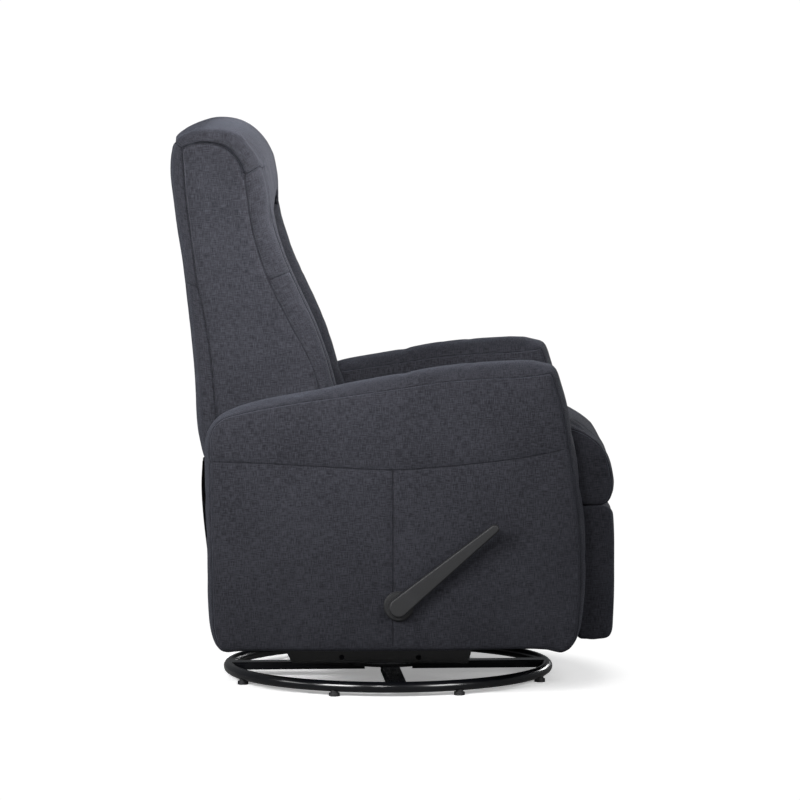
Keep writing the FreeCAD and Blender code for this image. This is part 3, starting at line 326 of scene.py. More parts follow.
def subdivide(obj):
    modifier = obj.modifiers.new("Subdivision", "SUBSURF")
    modifier.levels = modifier.render_levels = 1
    graph = bpy.context.evaluated_depsgraph_get()
    shaped = obj.evaluated_get(graph)
    mesh = bpy.data.meshes.new_from_object(shaped, preserve_all_data_layers=True, depsgraph=graph)
    obj.modifiers.clear()
    obj.data = mesh
    obj.data.name = obj.name


def rumple(obj, height, size):
    """Soft unevenness everywhere, a groove on each seam and small puckers beside it."""
    co, out, distance = coordinates(obj), normals(obj), seam_distance(obj)
    broad = np.array([noise.noise(Vector(p) / size) for p in co])
    fine = np.array([noise.noise(Vector(p) / 0.013 + Vector((7, 3, 1))) for p in co])
    pucker = 0.0005 * np.exp(-((distance - 0.007) / 0.016) ** 2)
    groove = 0.0016 * np.exp(-((distance / 0.004) ** 2))
    away = np.clip(distance / 0.03, 0, 1)
    put(obj, co + out * (height * broad * away + pucker * fine - groove)[:, None])


def finish_soft(obj, body, nodes, material):
    obj.data.materials.clear()
    obj.data.materials.append(material)
    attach(obj, body)
    if nodes:
        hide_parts(*nodes)
    return obj


# Materials

def new_material(name):
    material = bpy.data.materials.new(name)
    material.use_nodes = True
    nodes = material.node_tree.nodes
    nodes.clear()
    out = nodes.new("ShaderNodeOutputMaterial")
    shader = nodes.new("ShaderNodeBsdfPrincipled")
    material.node_tree.links.new(shader.outputs[0], out.inputs[0])
    return material, shader


class Graph:
    """Short calls for joining shader nodes."""

    def __init__(self, material):
        self.tree = material.node_tree

    def plug(self, value, socket):
        if isinstance(value, bpy.types.NodeSocket):
            self.tree.links.new(value, socket)
        else:
            socket.default_value = value

    def math(self, kind, a, b=None, c=None):
        node = self.tree.nodes.new("ShaderNodeMath")
        node.operation = kind
        for value, socket in zip((a, b, c), node.inputs):
            if value is not None:
                self.plug(value, socket)
        return node.outputs[0]

    def stretch(self, vector, scale):
        node = self.tree.nodes.new("ShaderNodeMapping")
        self.plug(vector, node.inputs["Vector"])
        node.inputs["Scale"].default_value = scale
        return node.outputs[0]

    def noise(self, vector, scale=1.0, detail=2.0, roughness=0.5):
        node = self.tree.nodes.new("ShaderNodeTexNoise")
        self.plug(vector, node.inputs["Vector"])
        node.inputs["Scale"].default_value = scale
        node.inputs["Detail"].default_value = detail
        node.inputs["Roughness"].default_value = roughness
        return node.outputs[0]

    def ramp(self, value, low, high, out_low=0.0, out_high=1.0):
        node = self.tree.nodes.new("ShaderNodeMapRange")
        node.interpolation_type = "SMOOTHSTEP"
        self.plug(value, node.inputs["Value"])
        ends = {"From Min": low, "From Max": high, "To Min": out_low, "To Max": out_high}
        for key, number in ends.items():
            self.plug(number, node.inputs[key])
        return node.outputs["Result"]

    def mix(self, share, a, b):
        node = self.tree.nodes.new("ShaderNodeMix")
        node.data_type = "RGBA"
        self.plug(share, node.inputs[0])
        self.plug(a, node.inputs[6])
        self.plug(b, node.inputs[7])
        return node.outputs[2]

    def bump(self, height, distance, strength=1.0, before=None):
        node = self.tree.nodes.new("ShaderNodeBump")
        node.inputs["Strength"].default_value = strength
        node.inputs["Distance"].default_value = distance
        self.plug(height, node.inputs["Height"])
        if before is not None:
            self.plug(before, node.inputs["Normal"])
        return node.outputs[0]

    def attribute(self, name):
        node = self.tree.nodes.new("ShaderNodeAttribute")
        node.attribute_name = name
        return node.outputs["Fac"]

    def place(self, kind):
        return self.tree.nodes.new("ShaderNodeTexCoord").outputs[kind]

    def cloth_map(self):
        node = self.tree.nodes.new("ShaderNodeUVMap")
        node.uv_map = "cloth"
        return node.outputs[0]


def woven(name, dark, light, thread=0.0011, sewn=True):
    """Linen-look cloth: crossing threads, slubs along both directions, seams with stitches, and painted
    shade along each seam's groove.
    """
    material, shader = new_material(name)
    g = Graph(material)
    cloth = g.cloth_map()
    split = g.tree.nodes.new("ShaderNodeSeparateXYZ")
    g.plug(cloth, split.inputs[0])
    u, v = split.outputs[0], split.outputs[1]
    turn = 2 * math.pi / thread
    warp = g.math("SINE", g.math("MULTIPLY", u, turn))
    weft = g.math("SINE", g.math("MULTIPLY", v, turn))
    weave = g.math("MULTIPLY", warp, weft)
    slub_up = g.noise(g.stretch(cloth, (820, 75, 1)), detail=2, roughness=0.6)
    slub_across = g.noise(g.stretch(cloth, (75, 820, 1)), detail=2, roughness=0.6)
    fleck = g.noise(g.stretch(cloth, (800, 800, 1)), detail=2)
    cloudy = g.noise(g.place("Object"), scale=9, detail=3)
    both = g.math("ADD", g.math("SUBTRACT", slub_up, 0.5), g.math("SUBTRACT", slub_across, 0.5))
    tone = g.math("MULTIPLY_ADD", both, 1.9, 0.5)
    tone = g.math("MULTIPLY_ADD", g.math("SUBTRACT", fleck, 0.5), 0.35, tone)
    tone = g.math("MULTIPLY_ADD", g.math("SUBTRACT", cloudy, 0.5), 0.45, tone)
    tone = g.math("MULTIPLY_ADD", weave, 0.12, tone)
    colour = g.mix(g.ramp(tone, 0.0, 1.0), (*dark, 1), (*light, 1))
    height = g.math("MULTIPLY_ADD", weave, 0.5, g.math("MULTIPLY", both, 1.6))
    normal = g.bump(height, 0.00022)
    if sewn:
        seam = g.attribute("seam")
        dash = g.math("SINE", g.math("MULTIPLY", g.attribute("along"), 2 * math.pi / STITCH))
        width = g.math("MULTIPLY_ADD", dash, 0.0006, 0.0024)
        # Painted shade: a dark line along each seam's groove, its width wavering with the stitches.
        seam_groove_shade = g.ramp(seam, 0.0, width, 1.0, 0.0)
        colour = g.mix(g.math("MULTIPLY", seam_groove_shade, 0.72), colour, (0.006, 0.006, 0.008, 1))
        normal = g.bump(g.ramp(seam, 0.0, 0.0028), 0.0016, 1.0, normal)
    g.plug(colour, shader.inputs["Base Color"])
    g.plug(normal, shader.inputs["Normal"])
    shader.inputs["Roughness"].default_value = 0.88
    shader.inputs["Specular IOR Level"].default_value = 0.12
    shader.inputs["Sheen Weight"].default_value = 0.07
    shader.inputs["Sheen Roughness"].default_value = 0.45
    shader.inputs["Sheen Tint"].default_value = (0.75, 0.8, 1.0, 1)
    return material


def painted(name, colour, roughness):
    """Sprayed paint with a fine orange peel and a slight change of sheen."""
    material, shader = new_material(name)
    g = Graph(material)
    place = g.place("Object")
    peel = g.noise(place, scale=380, detail=2)
    worn = g.noise(place, scale=14, detail=4)
    g.plug(g.ramp(worn, 0.3, 0.7, roughness * 0.85, roughness * 1.25), shader.inputs["Roughness"])
    lighter = tuple(c * 1.35 for c in colour)
    g.plug(g.mix(g.ramp(worn, 0.35, 0.7), (*colour, 1), (*lighter, 1)), shader.inputs["Base Color"])
    g.plug(g.bump(peel, 0.00006), shader.inputs["Normal"])
    shader.inputs["Coat Weight"].default_value = 0.4
    shader.inputs["Coat Roughness"].default_value = 0.12
    return material


def zinc(name, tint):
    """Zinc-plated steel with a faint spangle and fine scratches."""
    material, shader = new_material(name)
    g = Graph(material)
    place = g.place("Object")
    spangle = g.noise(place, scale=120, detail=3)
    scratch = g.noise(g.stretch(place, (60, 900, 900)), detail=2)
    g.plug(g.ramp(g.math("ADD", spangle, scratch), 0.6, 1.4, 0.24, 0.42), shader.inputs["Roughness"])
    darker = tuple(c * 0.72 for c in tint)
    g.plug(g.mix(g.ramp(spangle, 0.3, 0.7), (*darker, 1), (*tint, 1)), shader.inputs["Base Color"])
    g.plug(g.bump(scratch, 0.00004), shader.inputs["Normal"])
    shader.inputs["Metallic"].default_value = 1.0
    return material


def timber(name):
    """Planed wood with grain along the rails."""
    material, shader = new_material(name)
    g = Graph(material)
    place = g.place("Object")
    grain = g.noise(g.stretch(place, (8, 60, 240)), detail=5, roughness=0.6)
    rings = g.noise(g.stretch(place, (5, 22, 60)), detail=3)
    tone = g.math("ADD", g.math("MULTIPLY", grain, 0.6), g.math("MULTIPLY", rings, 0.4))
    colour = g.mix(g.ramp(tone, 0.3, 0.7), (0.33, 0.2, 0.1, 1), (0.62, 0.44, 0.26, 1))
    g.plug(colour, shader.inputs["Base Color"])
    g.plug(g.ramp(grain, 0.3, 0.7, 0.5, 0.7), shader.inputs["Roughness"])
    g.plug(g.bump(grain, 0.0002), shader.inputs["Normal"])
    return material


def moulded(name, colour, roughness):
    """Moulded plastic with a fine spark-eroded texture."""
    material, shader = new_material(name)
    g = Graph(material)
    place = g.place("Object")
    pebble = g.noise(place, scale=900, detail=2)
    cloudy = g.noise(place, scale=25, detail=3)
    lighter = tuple(c * 1.4 for c in colour)
    g.plug(g.mix(g.ramp(cloudy, 0.3, 0.7), (*colour, 1), (*lighter, 1)), shader.inputs["Base Color"])
    g.plug(g.ramp(pebble, 0.3, 0.7, roughness - 0.06, roughness + 0.08), shader.inputs["Roughness"])
    g.plug(g.bump(pebble, 0.00012), shader.inputs["Normal"])
    return material


FABRIC = woven("charcoal_linen", (0.0075, 0.0077, 0.0100), (0.026, 0.0265, 0.0330))
FLAP = woven("flap_cloth", (0.014, 0.014, 0.016), (0.036, 0.036, 0.041), thread=0.0008, sewn=False)
PAINT = painted("black_paint", (0.0030, 0.0033, 0.0045), 0.2)
ZINC = zinc("zinc_steel", (0.62, 0.63, 0.65))
BALLS = zinc("bearing_steel", (0.75, 0.75, 0.77))
WOOD = timber("frame_wood")
PLASTIC = moulded("black_plastic", (0.014, 0.014, 0.015), 0.5)
HANDLE = moulded("handle_plastic", (0.0018, 0.0019, 0.0028), 0.62)
FINISHES = {
    "black_steel": PAINT, "zinc_steel": ZINC, "frame_wood": WOOD, "black_plastic": PLASTIC,
    "handle_plastic": HANDLE, "flap_cloth": FLAP, "bearing_steel": BALLS, "upholstery": FABRIC,
}


def finish_frame():
    """Gives every CAD node the finish of its material slot."""
    slots = {row["node"]: row["material_slot"] for row in frame["record"]["subparts"]}
    for name, obj in frame["nodes"].items():
        obj.data.materials.clear()
        obj.data.materials.append(FINISHES[slots[name]])


# Arms

ARM_OUTER, ARM_INNER = 360.0, 246.0
ARM_EDGE = 4.5
ARM_REAR = [(-303, 101), (-309, 125), (-312, 170), (-314, 250), (-316, 330), (-317, 416), (-317, 468),
            (-310, 492)]
ARM_TOP = [(-310, 492), (-296, 506), (-262, 517), (-155, 537), (-84, 547), (22, 562), (93, 573), (164, 579),
           (235, 582), (270, 586), (291, 590)]
ARM_FRONT = [(325, 95), (334, 110), (339, 128), (344, 184), (345, 255), (341, 327), (331, 405), (321, 470),
             (309, 532), (291, 590)]
ARM_BASE = [(-303, 101), (-296, 91), (-282, 89), (-262, 91), (-100, 91), (100, 92), (250, 95), (288, 93),
            (310, 88), (325, 95)]
ARM_BELT = [(-317, 431), (-226, 428), (-120, 422), (10, 416), (93, 421), (200, 432), (271, 443), (325, 455)]
ARM_SPLIT = 10.0
CROWN_ALONG = [-317, -290, -262, -228, -156, -97, 22, 150, 236, 263, 283, 300]
CROWN_UP = [2, 3, 8, 10, 12, 15, 22, 24, 25, 22, 14, 7]


def padded_arm(side, word):
    cover = Cover("arm_" + word)
    rear_all, front_all = smooth(ARM_REAR), smooth(ARM_FRONT)
    belt_all, top_all, base_all = smooth(ARM_BELT), smooth(ARM_TOP), smooth(ARM_BASE)
    half = 40
    low_rows, high_rows = 40, 15
    belt = [part_of(belt_all, -400, ARM_SPLIT, 0, half), part_of(belt_all, ARM_SPLIT, 400, 0, half)]
    base = [part_of(base_all, -400, ARM_SPLIT, 0, half), part_of(base_all, ARM_SPLIT, 400, 0, half)]
    top = [part_of(top_all, -400, ARM_SPLIT, 0, half), part_of(top_all, ARM_SPLIT, 400, 0, half)]
    rear_low = part_of(rear_all, 0, belt[0][0, 1], 1, low_rows)
    rear_high = part_of(rear_all, belt[0][0, 1], 900, 1, high_rows)
    front_low = part_of(front_all, 0, belt[1][-1, 1], 1, low_rows)
    front_high = part_of(front_all, belt[1][-1, 1], 900, 1, high_rows)
    split_low = spaced(np.array([base[0][-1], belt[0][-1]]), low_rows)
    split_high = spaced(np.array([belt[0][-1], top[0][-1]]), high_rows)
    for ends in ((belt[0], 0, rear_low[-1]), (belt[1], -1, front_low[-1])):
        ends[0][ends[1]] = ends[2]
    for pair, edge in ((base, rear_low[0]), (top, rear_high[-1])):
        pair[0][0] = edge
    base[1][-1], top[1][-1] = front_low[0], front_high[-1]
    patches = (
        coons(base[0], belt[0], rear_low, split_low), coons(base[1], belt[1], split_low, front_low),
        coons(belt[0], top[0], rear_high, split_high), coons(belt[1], top[1], split_high, front_high))
    loop = np.vstack([
        base[0][:-1], base[1][:-1], front_low[:-1], front_high[:-1], top[1][::-1][:-1], top[0][::-1][:-1],
        rear_high[::-1][:-1], rear_low[::-1][:-1]])
    for face in (ARM_OUTER, ARM_INNER):
        inward = -1 if face == ARM_OUTER else 1
        for patch in patches:
            lateral = face + inward * ARM_EDGE * rim_fall(patch, loop, 26)
            grid = lift(patch, side * lateral)
            cover.panel(grid, grid[..., 1:3])
    crown = arm_crown(loop)
    shares = np.linspace(0, 1, 15)
    profile = 1 - np.abs(2 * shares - 1) ** 2.3
    out = outward(loop)
    ring = loop[:, None, :] + out[:, None, :] * (crown[:, None] * profile[None])[..., None]
    lateral = ARM_OUTER - ARM_EDGE + (ARM_INNER - ARM_OUTER + 2 * ARM_EDGE) * shares[None]
    closed = np.concatenate([ring, ring[:1]])
    cover.panel(lift(closed, side * np.broadcast_to(lateral, closed.shape[:2])))
    rim = np.vstack([loop, loop[:1]])
    for face in (ARM_OUTER - ARM_EDGE, ARM_INNER + ARM_EDGE):
        cover.seam(lift(rim, side * face))
    cover.seam(lift(np.vstack(belt), side * ARM_OUTER))
    cover.seam(lift(split_low, side * ARM_OUTER))
    obj = cover.sew()
    co, distance = coordinates(obj), seam_distance(obj)
    held = np.maximum(np.exp(-((distance / 0.006) ** 2)), (co[:, 2] < 0.1) * 1.0)
    fill(obj, held, 1.2, 0.004, slack=0.004)
    subdivide(obj)
    rumple(obj, 0.0009, 0.11)
    return finish_soft(obj, "chassis", ["padded_arm_" + word], FABRIC)


def rim_fall(grid, loop, width):
    """1 on the outline, falling to 0 at width inside it."""
    flat = grid.reshape(-1, 2)
    gap = np.min(np.linalg.norm(flat[:, None] - loop[None], axis=2), axis=1)
    return (np.clip(1 - gap / width, 0, 1) ** 2.2).reshape(grid.shape[:2])


def arm_crown(loop):
    """How far the boxing stands out between its two seams, round the arm."""
    forward, up = loop[:, 0], loop[:, 1]
    out = outward(loop)
    upward = np.clip(out[:, 1], 0, 1)
    downward = np.clip(-out[:, 1], 0, 1)
    top = np.interp(forward, CROWN_ALONG, CROWN_UP)
    front = np.interp(up, [95, 184, 255, 330, 470, 590], [5, 8, 8, 9, 10, 11])
    side = np.where(forward > 0, front, 8.0)
    return top * upward + side * (1 - upward) * (1 - downward) + 1.0 * downward


# Seat cushion and footrest pad

SEAT_HALF = 243.5
SHOULDER = 0.2
SEAT_LOOP = [(-146, 352), (-149, 390), (-146, 432), (-125, 452), (0, 472), (120, 484), (240, 488),
             (300, 486), (333, 479), (357, 470), (382, 449), (396, 423), (403, 394), (404, 368),
             (398, 347), (382, 340), (350, 341), (325, 345), (250, 347), (100, 347), (-100, 347)]


def boxed(cover, loop, half, crown, edge, spread):
    """Two side panels and the band between them, crowned out from the outline."""
    out = outward(loop)
    steps = int(2 * half / CELL)
    shares = np.linspace(0, 1, steps + 1)
    shape = shouldered(shares)
    ring = loop[:, None, :] + out[:, None, :] * (crown[:, None] * shape[None])[..., None]
    lateral = -half + edge + (2 * half - 2 * edge) * shares
    closed = np.concatenate([ring, ring[:1]])
    cover.panel(lift(closed, np.broadcast_to(lateral[None], closed.shape[:2])))
    quarter = len(loop) // 4
    low, right = loop[:quarter + 1], loop[quarter:2 * quarter + 1]
    high, left = loop[2 * quarter:3 * quarter + 1][::-1], np.vstack([loop[3 * quarter:], loop[:1]])[::-1]
    patch = coons(low, high, left, right)
    for side in (-1, 1):
        face = side * (half - edge * rim_fall(patch, loop, spread))
        grid = lift(patch, face)
        cover.panel(grid, grid[..., 1:3])
        cover.seam(lift(np.vstack([loop, loop[:1]]), side * (half - edge)))


def turned_loop(points, count, start):
    """Closed line with count even steps that begins near a side-view point."""
    dense = smooth(points + points[:3])
    first = int(np.argmin(np.linalg.norm(dense[:len(dense) // 2] - np.array(points[1]), axis=1)))
    stop = first + int(np.argmin(np.linalg.norm(dense[first + 30:] - dense[first], axis=1))) + 30
    whole = dense[first:stop + 1]
    loop = spaced(whole, count)[:-1]
    near = int(np.argmin(np.linalg.norm(loop - np.array(start), axis=1)))
    return np.roll(loop, -near, axis=0)


def shouldered(shares):
    """Band profile that climbs from each seam and stays level between."""
    away = np.clip(np.minimum(shares, 1 - shares) / SHOULDER, 0, 1)
    return 1 - (1 - away) ** 2.2


def seat_cushion():
    cover = Cover("seat_cushion")
    loop = turned_loop(SEAT_LOOP, 168, SEAT_LOOP[0])
    forward, up = loop[:, 0], loop[:, 1]
    out = outward(loop)
    top = np.interp(forward, [-150, 0, 200, 300, 340, 370, 400], [6, 12, 12, 7, 5, 5, 5])
    crown = top * np.clip(out[:, 1], 0, 1) + 5 * np.clip(out[:, 0], 0, 1) * (1 - np.clip(out[:, 1], 0, 1))
    crown = np.where((up < 352) | (forward < -140), 0, crown)
    boxed(cover, loop, SEAT_HALF, crown, 4, 22)
    obj = cover.sew()
    co, distance = coordinates(obj), seam_distance(obj)
    held = np.maximum(np.exp(-((distance / 0.007) ** 2)), np.maximum(co[:, 2] < 0.351, co[:, 1] > 0.1) * 1.0)
    fill(obj, held, 2.5, 0.007, slack=0.01)
    keep_within(obj, (-0.2453, None, 0.34), (0.2453, None, None))
    subdivide(obj)
    rumple(obj, 0.0012, 0.09)
    return finish_soft(obj, "chassis", ["seat_cushion"], FABRIC)


def keep_within(obj, low, high):
    """Presses the piece flat where it would pass a limit."""
    co = coordinates(obj)
    for axis in range(3):
        if low[axis] is not None:
            co[:, axis] = np.maximum(co[:, axis], low[axis])
        if high[axis] is not None:
            co[:, axis] = np.minimum(co[:, axis], high[axis])
    put(obj, co)


def rounded_block(cover, low, high, radius, cell):
    """Block with rounded edges as six panels, corners in millimetres (lateral, forward, up)."""
    low, high = np.array(low, float), np.array(high, float)
    for axis in range(3):
        a, b = [k for k in range(3) if k != axis]
        counts = [max(4, int(round((high[k] - low[k]) / cell))) for k in (a, b)]
        first, second = np.meshgrid(np.linspace(low[a], high[a], counts[0] + 1),
                                    np.linspace(low[b], high[b], counts[1] + 1))
        for end in (low[axis], high[axis]):
            grid = np.zeros(first.shape + (3,))
            grid[..., a], grid[..., b], grid[..., axis] = first, second, end
            core = np.clip(grid, low + radius, high - radius)
            away = grid - core
            grid = core + away / np.linalg.norm(away, axis=-1, keepdims=True) * radius
            cover.panel(lift(grid[..., 1:], grid[..., 0]))


def footrest_pad():
    cover = Cover("footrest_pad")
    rear, front, low, high, half = 339.0, 404.0, 96.0, 341.5, 243.0
    seam_at = 357
    rounded_block(cover, (-half, rear, low), (half, front, high), 15, cell=7)
    corners = [(-1, low), (1, low), (1, high), (-1, high), (-1, low)]
    rim = np.array([(s * half, -seam_at, z) for s, z in corners]) * MM
    for a, b in zip(rim[:-1], rim[1:]):
        cover.seam(np.array([a, b]))
    obj = cover.sew()
    co = coordinates(obj)
    across, tall = co[:, 0] / (half * MM), (co[:, 2] - 0.217) / 0.121
    bulge = np.clip(1 - across ** 6, 0, 1) * np.clip(1 - np.abs(tall) ** 3, 0, 1)
    face = np.clip((-co[:, 1] - 0.385) / 0.015, 0, 1)
    co[:, 1] -= 0.005 * bulge * face
    put(obj, co)
    distance = seam_distance(obj)
    held = np.maximum(np.exp(-((distance / 0.007) ** 2)), (-co[:, 1] < 0.346) * 1.0)
    fill(obj, held, 1.6, 0.003, slack=0.008)
    keep_within(obj, (-0.2445, None, 0.094), (0.2445, -0.3424, 0.3395))
    subdivide(obj)
    rumple(obj, 0.001, 0.08)
    return finish_soft(obj, "footrest", ["footrest_pad"], FABRIC)


# Back

BACK_HALF, RIDGE = 243.5, 224.0
REAR_SEAM = [(-296, 424), (-307, 495), (-317, 603), (-328, 675), (-342, 742), (-351, 810), (-361, 890),
             (-368, 984)]
FRONT_SEAM = [(-92, 424), (-106, 500), (-122, 552), (-140, 603), (-175, 666), (-219, 756), (-243, 837),
              (-254, 908), (-257, 936)]
TOP_SEAM = [(-257, 936), (-264, 958), (-287, 984), (-322, 994), (-350, 992), (-368, 984)]
CREST = [(-66, 424), (-84, 510), (-98, 552), (-116, 614), (-137, 671), (-158, 716), (-184, 774), (-199, 815),
         (-208, 845), (-213, 870), (-220, 915), (-228, 951)]
REAR_EDGE = [(-328, 424), (-338, 476), (-343, 567), (-350, 648), (-360, 738), (-365, 783), (-374, 837),
             (-381, 890), (-386, 935), (-386, 966), (-382, 993)]
OVER_TOP = [(-228, 951), (-243, 984), (-271, 1010), (-318, 1018), (-352, 1014), (-371, 1006), (-382, 993)]
TUCK_END, TUCK_MIDDLE = 844.0, 897.0
LUMBAR_HALF = 152.0


def wrapped(inner, outer, steps, side, inner_x=BACK_HALF, outer_x=RIDGE):
    """Band that turns from a side seam round to an edge line, in a quarter of an ellipse."""
    share = np.linspace(0, 1, steps + 1)[:, None, None]
    turn = share * math.pi / 2
    flat = inner[None] + (outer - inner)[None] * np.sin(turn)
    lateral = inner_x - (inner_x - outer_x) * (1 - np.cos(turn[..., 0]))
    return lift(flat, side * np.broadcast_to(lateral, flat.shape[:2]))


def side_pad(side, word):
    """Side of the back with its bolster: flat panel, front band, puffed inner face."""
    cover = Cover("back_side_" + word)
    rows, cols = 70, 16
    rear = line(REAR_SEAM, rows)
    front = line(FRONT_SEAM, rows)
    top = line(TOP_SEAM, cols)[::-1]
    base = spaced(np.array([REAR_SEAM[0], FRONT_SEAM[0]], float), cols)
    panel = lift(coons(base, top, rear, front), side * BACK_HALF)
    cover.panel(panel, panel[..., 1:3])
    crest = line(CREST, rows)
    band = wrapped(front, crest, 5, side)
    cover.panel(band)
    cover.tuck(band[:, -1], (-side * 0.002, 0.004, 0.01))
    share = np.linspace(0, 1, 11)[:, None]
    inner_x = RIDGE - (RIDGE - LUMBAR_HALF) * share
    drop = 34 * share ** 2 - 13 * np.sin(share * math.pi)
    face = np.stack([crest - np.array([1, 0]) * d for d in drop])
    cover.panel(lift(face, side * np.broadcast_to(inner_x, face.shape[:2])))
    edge = face[-1]
    deep = np.stack([edge, edge - np.array([40, 0]), edge - np.array([80, 0])])
    cover.panel(lift(deep, side * LUMBAR_HALF))
    cover.seam(lift(rear, side * BACK_HALF))
    cover.seam(lift(front, side * BACK_HALF))
    cover.seam(lift(line(TOP_SEAM, 40), side * BACK_HALF))
    cover.seam(lift(face[1], side * inner_x[1]))
    for at in (0.645, 1.0):
        place = int(at * rows)
        cover.seam(wrapped(front, crest, 8, side)[:, place])
    obj = cover.sew()
    co, distance = coordinates(obj), seam_distance(obj)
    hidden = (np.abs(co[:, 0]) < LUMBAR_HALF * MM + 0.001) | (co[:, 2] < 0.43)
    held = np.maximum(np.exp(-((distance / 0.006) ** 2)), hidden * 1.0)
    fill(obj, held, 1.2, 0.004, slack=0.004)
    keep_within(obj, (-0.2455, None, None), (0.2455, None, None))
    subdivide(obj)
    rumple(obj, 0.0008, 0.1)
    return finish_soft(obj, "backrest", ["bolster_" + word], FABRIC)


def back_cover():
    """Rear of the back: a crowned panel and the bands that turn round to the side seams."""
    cover = Cover("back_cover")
    rows = 70
    seam = line(REAR_SEAM, rows)
    edge = line(REAR_EDGE, rows)
    across = np.linspace(-1, 1, 57)
    bulge = 6 * (1 - across ** 4)
    panel = np.stack([edge - np.array([1, 0]) * b for b in bulge], axis=1)
    cover.panel(lift(panel, np.broadcast_to(across * RIDGE, panel.shape[:2])))
    cover.tuck(lift(panel[-1], across * RIDGE), (0, -0.022, 0.004))
    tucked = np.stack([seam, seam + np.array([3, 0]), seam + np.array([40, 0])])
    for side, _ in SIDES:
        band = wrapped(seam, edge, 4, side)
        cover.panel(band)
        cover.tuck(band[:, -1], (-side * 0.002, -0.006, 0.007))
        cover.panel(lift(tucked, side * np.array([[BACK_HALF], [BACK_HALF - 1.6], [BACK_HALF - 2]])))
        cover.seam(lift(seam, side * BACK_HALF))
        cover.seam(wrapped(seam, edge, 8, side)[:, 39])
        cover.seam(wrapped(seam, edge, 8, side)[:, -1])
        cover.seam(lift(edge[:40], side * (RIDGE + 3)))
    cover.seam(lift(panel[-1], across * RIDGE))
    obj = cover.sew()
    distance = seam_distance(obj)
    co = coordinates(obj)
    held = np.maximum(np.exp(-((distance / 0.006) ** 2)), (np.abs(co[:, 0]) > 0.24) * 1.0)
    fill(obj, held, 1.0, 0.003, slack=0.004)
    subdivide(obj)
    rumple(obj, 0.001, 0.12)
    return finish_soft(obj, "backrest", ["back_cover"], FABRIC)


def head_pillow():
    """Pillow over the top of the back: a bulging front and top, and a band round each end."""
    cover = Cover("head_pillow")
    low_rows, high_rows = 11, 28
    crest_low = part_of(smooth(CREST), TUCK_END, 951, 1, low_rows)
    over = line(OVER_TOP, high_rows)
    ridge = np.vstack([crest_low[:-1], over])
    along = np.gradient(ridge, axis=0)
    out = np.column_stack([along[:, 1], -along[:, 0]])
    out /= np.linalg.norm(out, axis=1)[:, None]
    across = np.linspace(-1, 1, 57)
    height = np.interp(np.arange(len(ridge)), [0, 5, 12, 22, 30, len(ridge) - 1], [4, 15, 17, 12, 12, 8])
    bulge = 1 - np.abs(across) ** 2.6
    face = ridge[:, None] + out[:, None] * (height[:, None] * bulge[None])[..., None]
    rise = np.clip(1 - np.arange(len(ridge)) / 13, 0, 1) ** 1.2
    face[..., 1] += (TUCK_MIDDLE - TUCK_END) * rise[:, None] * (1 - across ** 2)[None]
    cover.panel(lift(face, np.broadcast_to(across * RIDGE, face.shape[:2])))
    tuck = face[0]
    steps = (0, 6, 16, 30, 48)
    under = np.stack([tuck + np.array([-1, 0]) * s + np.array([0, 1]) * min(s, 8) * 0.6 for s in steps])
    cover.panel(lift(under, np.broadcast_to(across * RIDGE, under.shape[:2])))
    cover.tuck(lift(face[-1], across * RIDGE), (0, -0.012, -0.022))
    seam = line(TOP_SEAM, high_rows)
    for side, _ in SIDES:
        cover.panel(wrapped(seam, over, 5, side))
        cover.seam(lift(seam, side * BACK_HALF))
        cover.seam(lift(crest_low, side * RIDGE))
        cover.seam(wrapped(seam, over, 8, side)[:, 0])
        cover.seam(wrapped(seam, over, 8, side)[:, -1])
    cover.seam(lift(tuck, across * RIDGE))
    cover.seam(lift(face[-1], across * RIDGE))
    obj = cover.sew()
    distance = seam_distance(obj)
    held = np.exp(-((distance / 0.007) ** 2))
    fill(obj, held, 2.0, 0.006, slack=0.01)
    subdivide(obj)
    rumple(obj, 0.0012, 0.07)
    return finish_soft(obj, "backrest", ["head_pillow"], FABRIC)


def lumbar_cushion():
    """Middle of the back, a little behind the bolsters, with one seam across."""
    cover = Cover("lumbar_cushion")
    rows = 62
    crest = part_of(smooth(CREST), 430, 915, 1, rows)
    across = np.linspace(-1, 1, 39)
    half = LUMBAR_HALF + 1.5
    recess = 27 - 12 * (1 - np.abs(across) ** 2.5)
    face = np.stack([crest - np.array([1, 0]) * r for r in recess], axis=1)
    swell = np.interp(crest[:, 1], [430, 520, 600, 700, 800, 860, 915], [0, 4, 8, 5, 6, 12, 12])
    face[..., 0] += swell[:, None] * (1 - across ** 2)[None]
    cover.panel(lift(face, np.broadcast_to(across * half, face.shape[:2])))
    deep = np.stack([face[:, 0] - np.array([1, 0]) * d for d in (0, 20, 60)], axis=1)
    for side in (-1, 1):
        cover.panel(lift(deep, np.full(deep.shape[:2], side * half)))
        cover.seam(lift(face[:, 0], side * half))
    cover.seam(lift(face[24], across * half))
    obj = cover.sew()
    co, distance = coordinates(obj), seam_distance(obj)
    held = np.maximum(np.exp(-((distance / 0.007) ** 2)), (co[:, 2] < 0.44) * 1.0)
    fill(obj, held, 2.0, 0.006, slack=0.008)
    subdivide(obj)
    rumple(obj, 0.001, 0.09)
    return finish_soft(obj, "backrest", ["lumbar_cushion"], FABRIC)


def rear_flap():
    """Thin cloth that closes the gap under the back, behind the seat; the back presses it down."""
    cover = Cover("rear_flap")
    rows = 26
    middle = line([(-323, 238), (-327, 269), (-333, 324), (-336, 378), (-334, 420)], rows)
    across = np.linspace(-1, 1, 61)
    wave = 1.6 * np.sin(across * 21) * np.sin(across * 8 + 1)
    sheet = np.stack([middle + np.array([1, 0]) * w for w in wave], axis=1)
    cover.panel(lift(sheet, np.broadcast_to(across * 249, sheet.shape[:2])))
    obj = cover.open_sheet("rear_flap_cloth")
    obj.data.materials.append(FLAP)
    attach(obj, "chassis")
    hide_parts("rear_flap")
    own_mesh(obj)
    return obj


# Stage, light and camera

SHADOW_END, WHITE_START = 0.37, 0.47
PURE_WHITE = 1.02

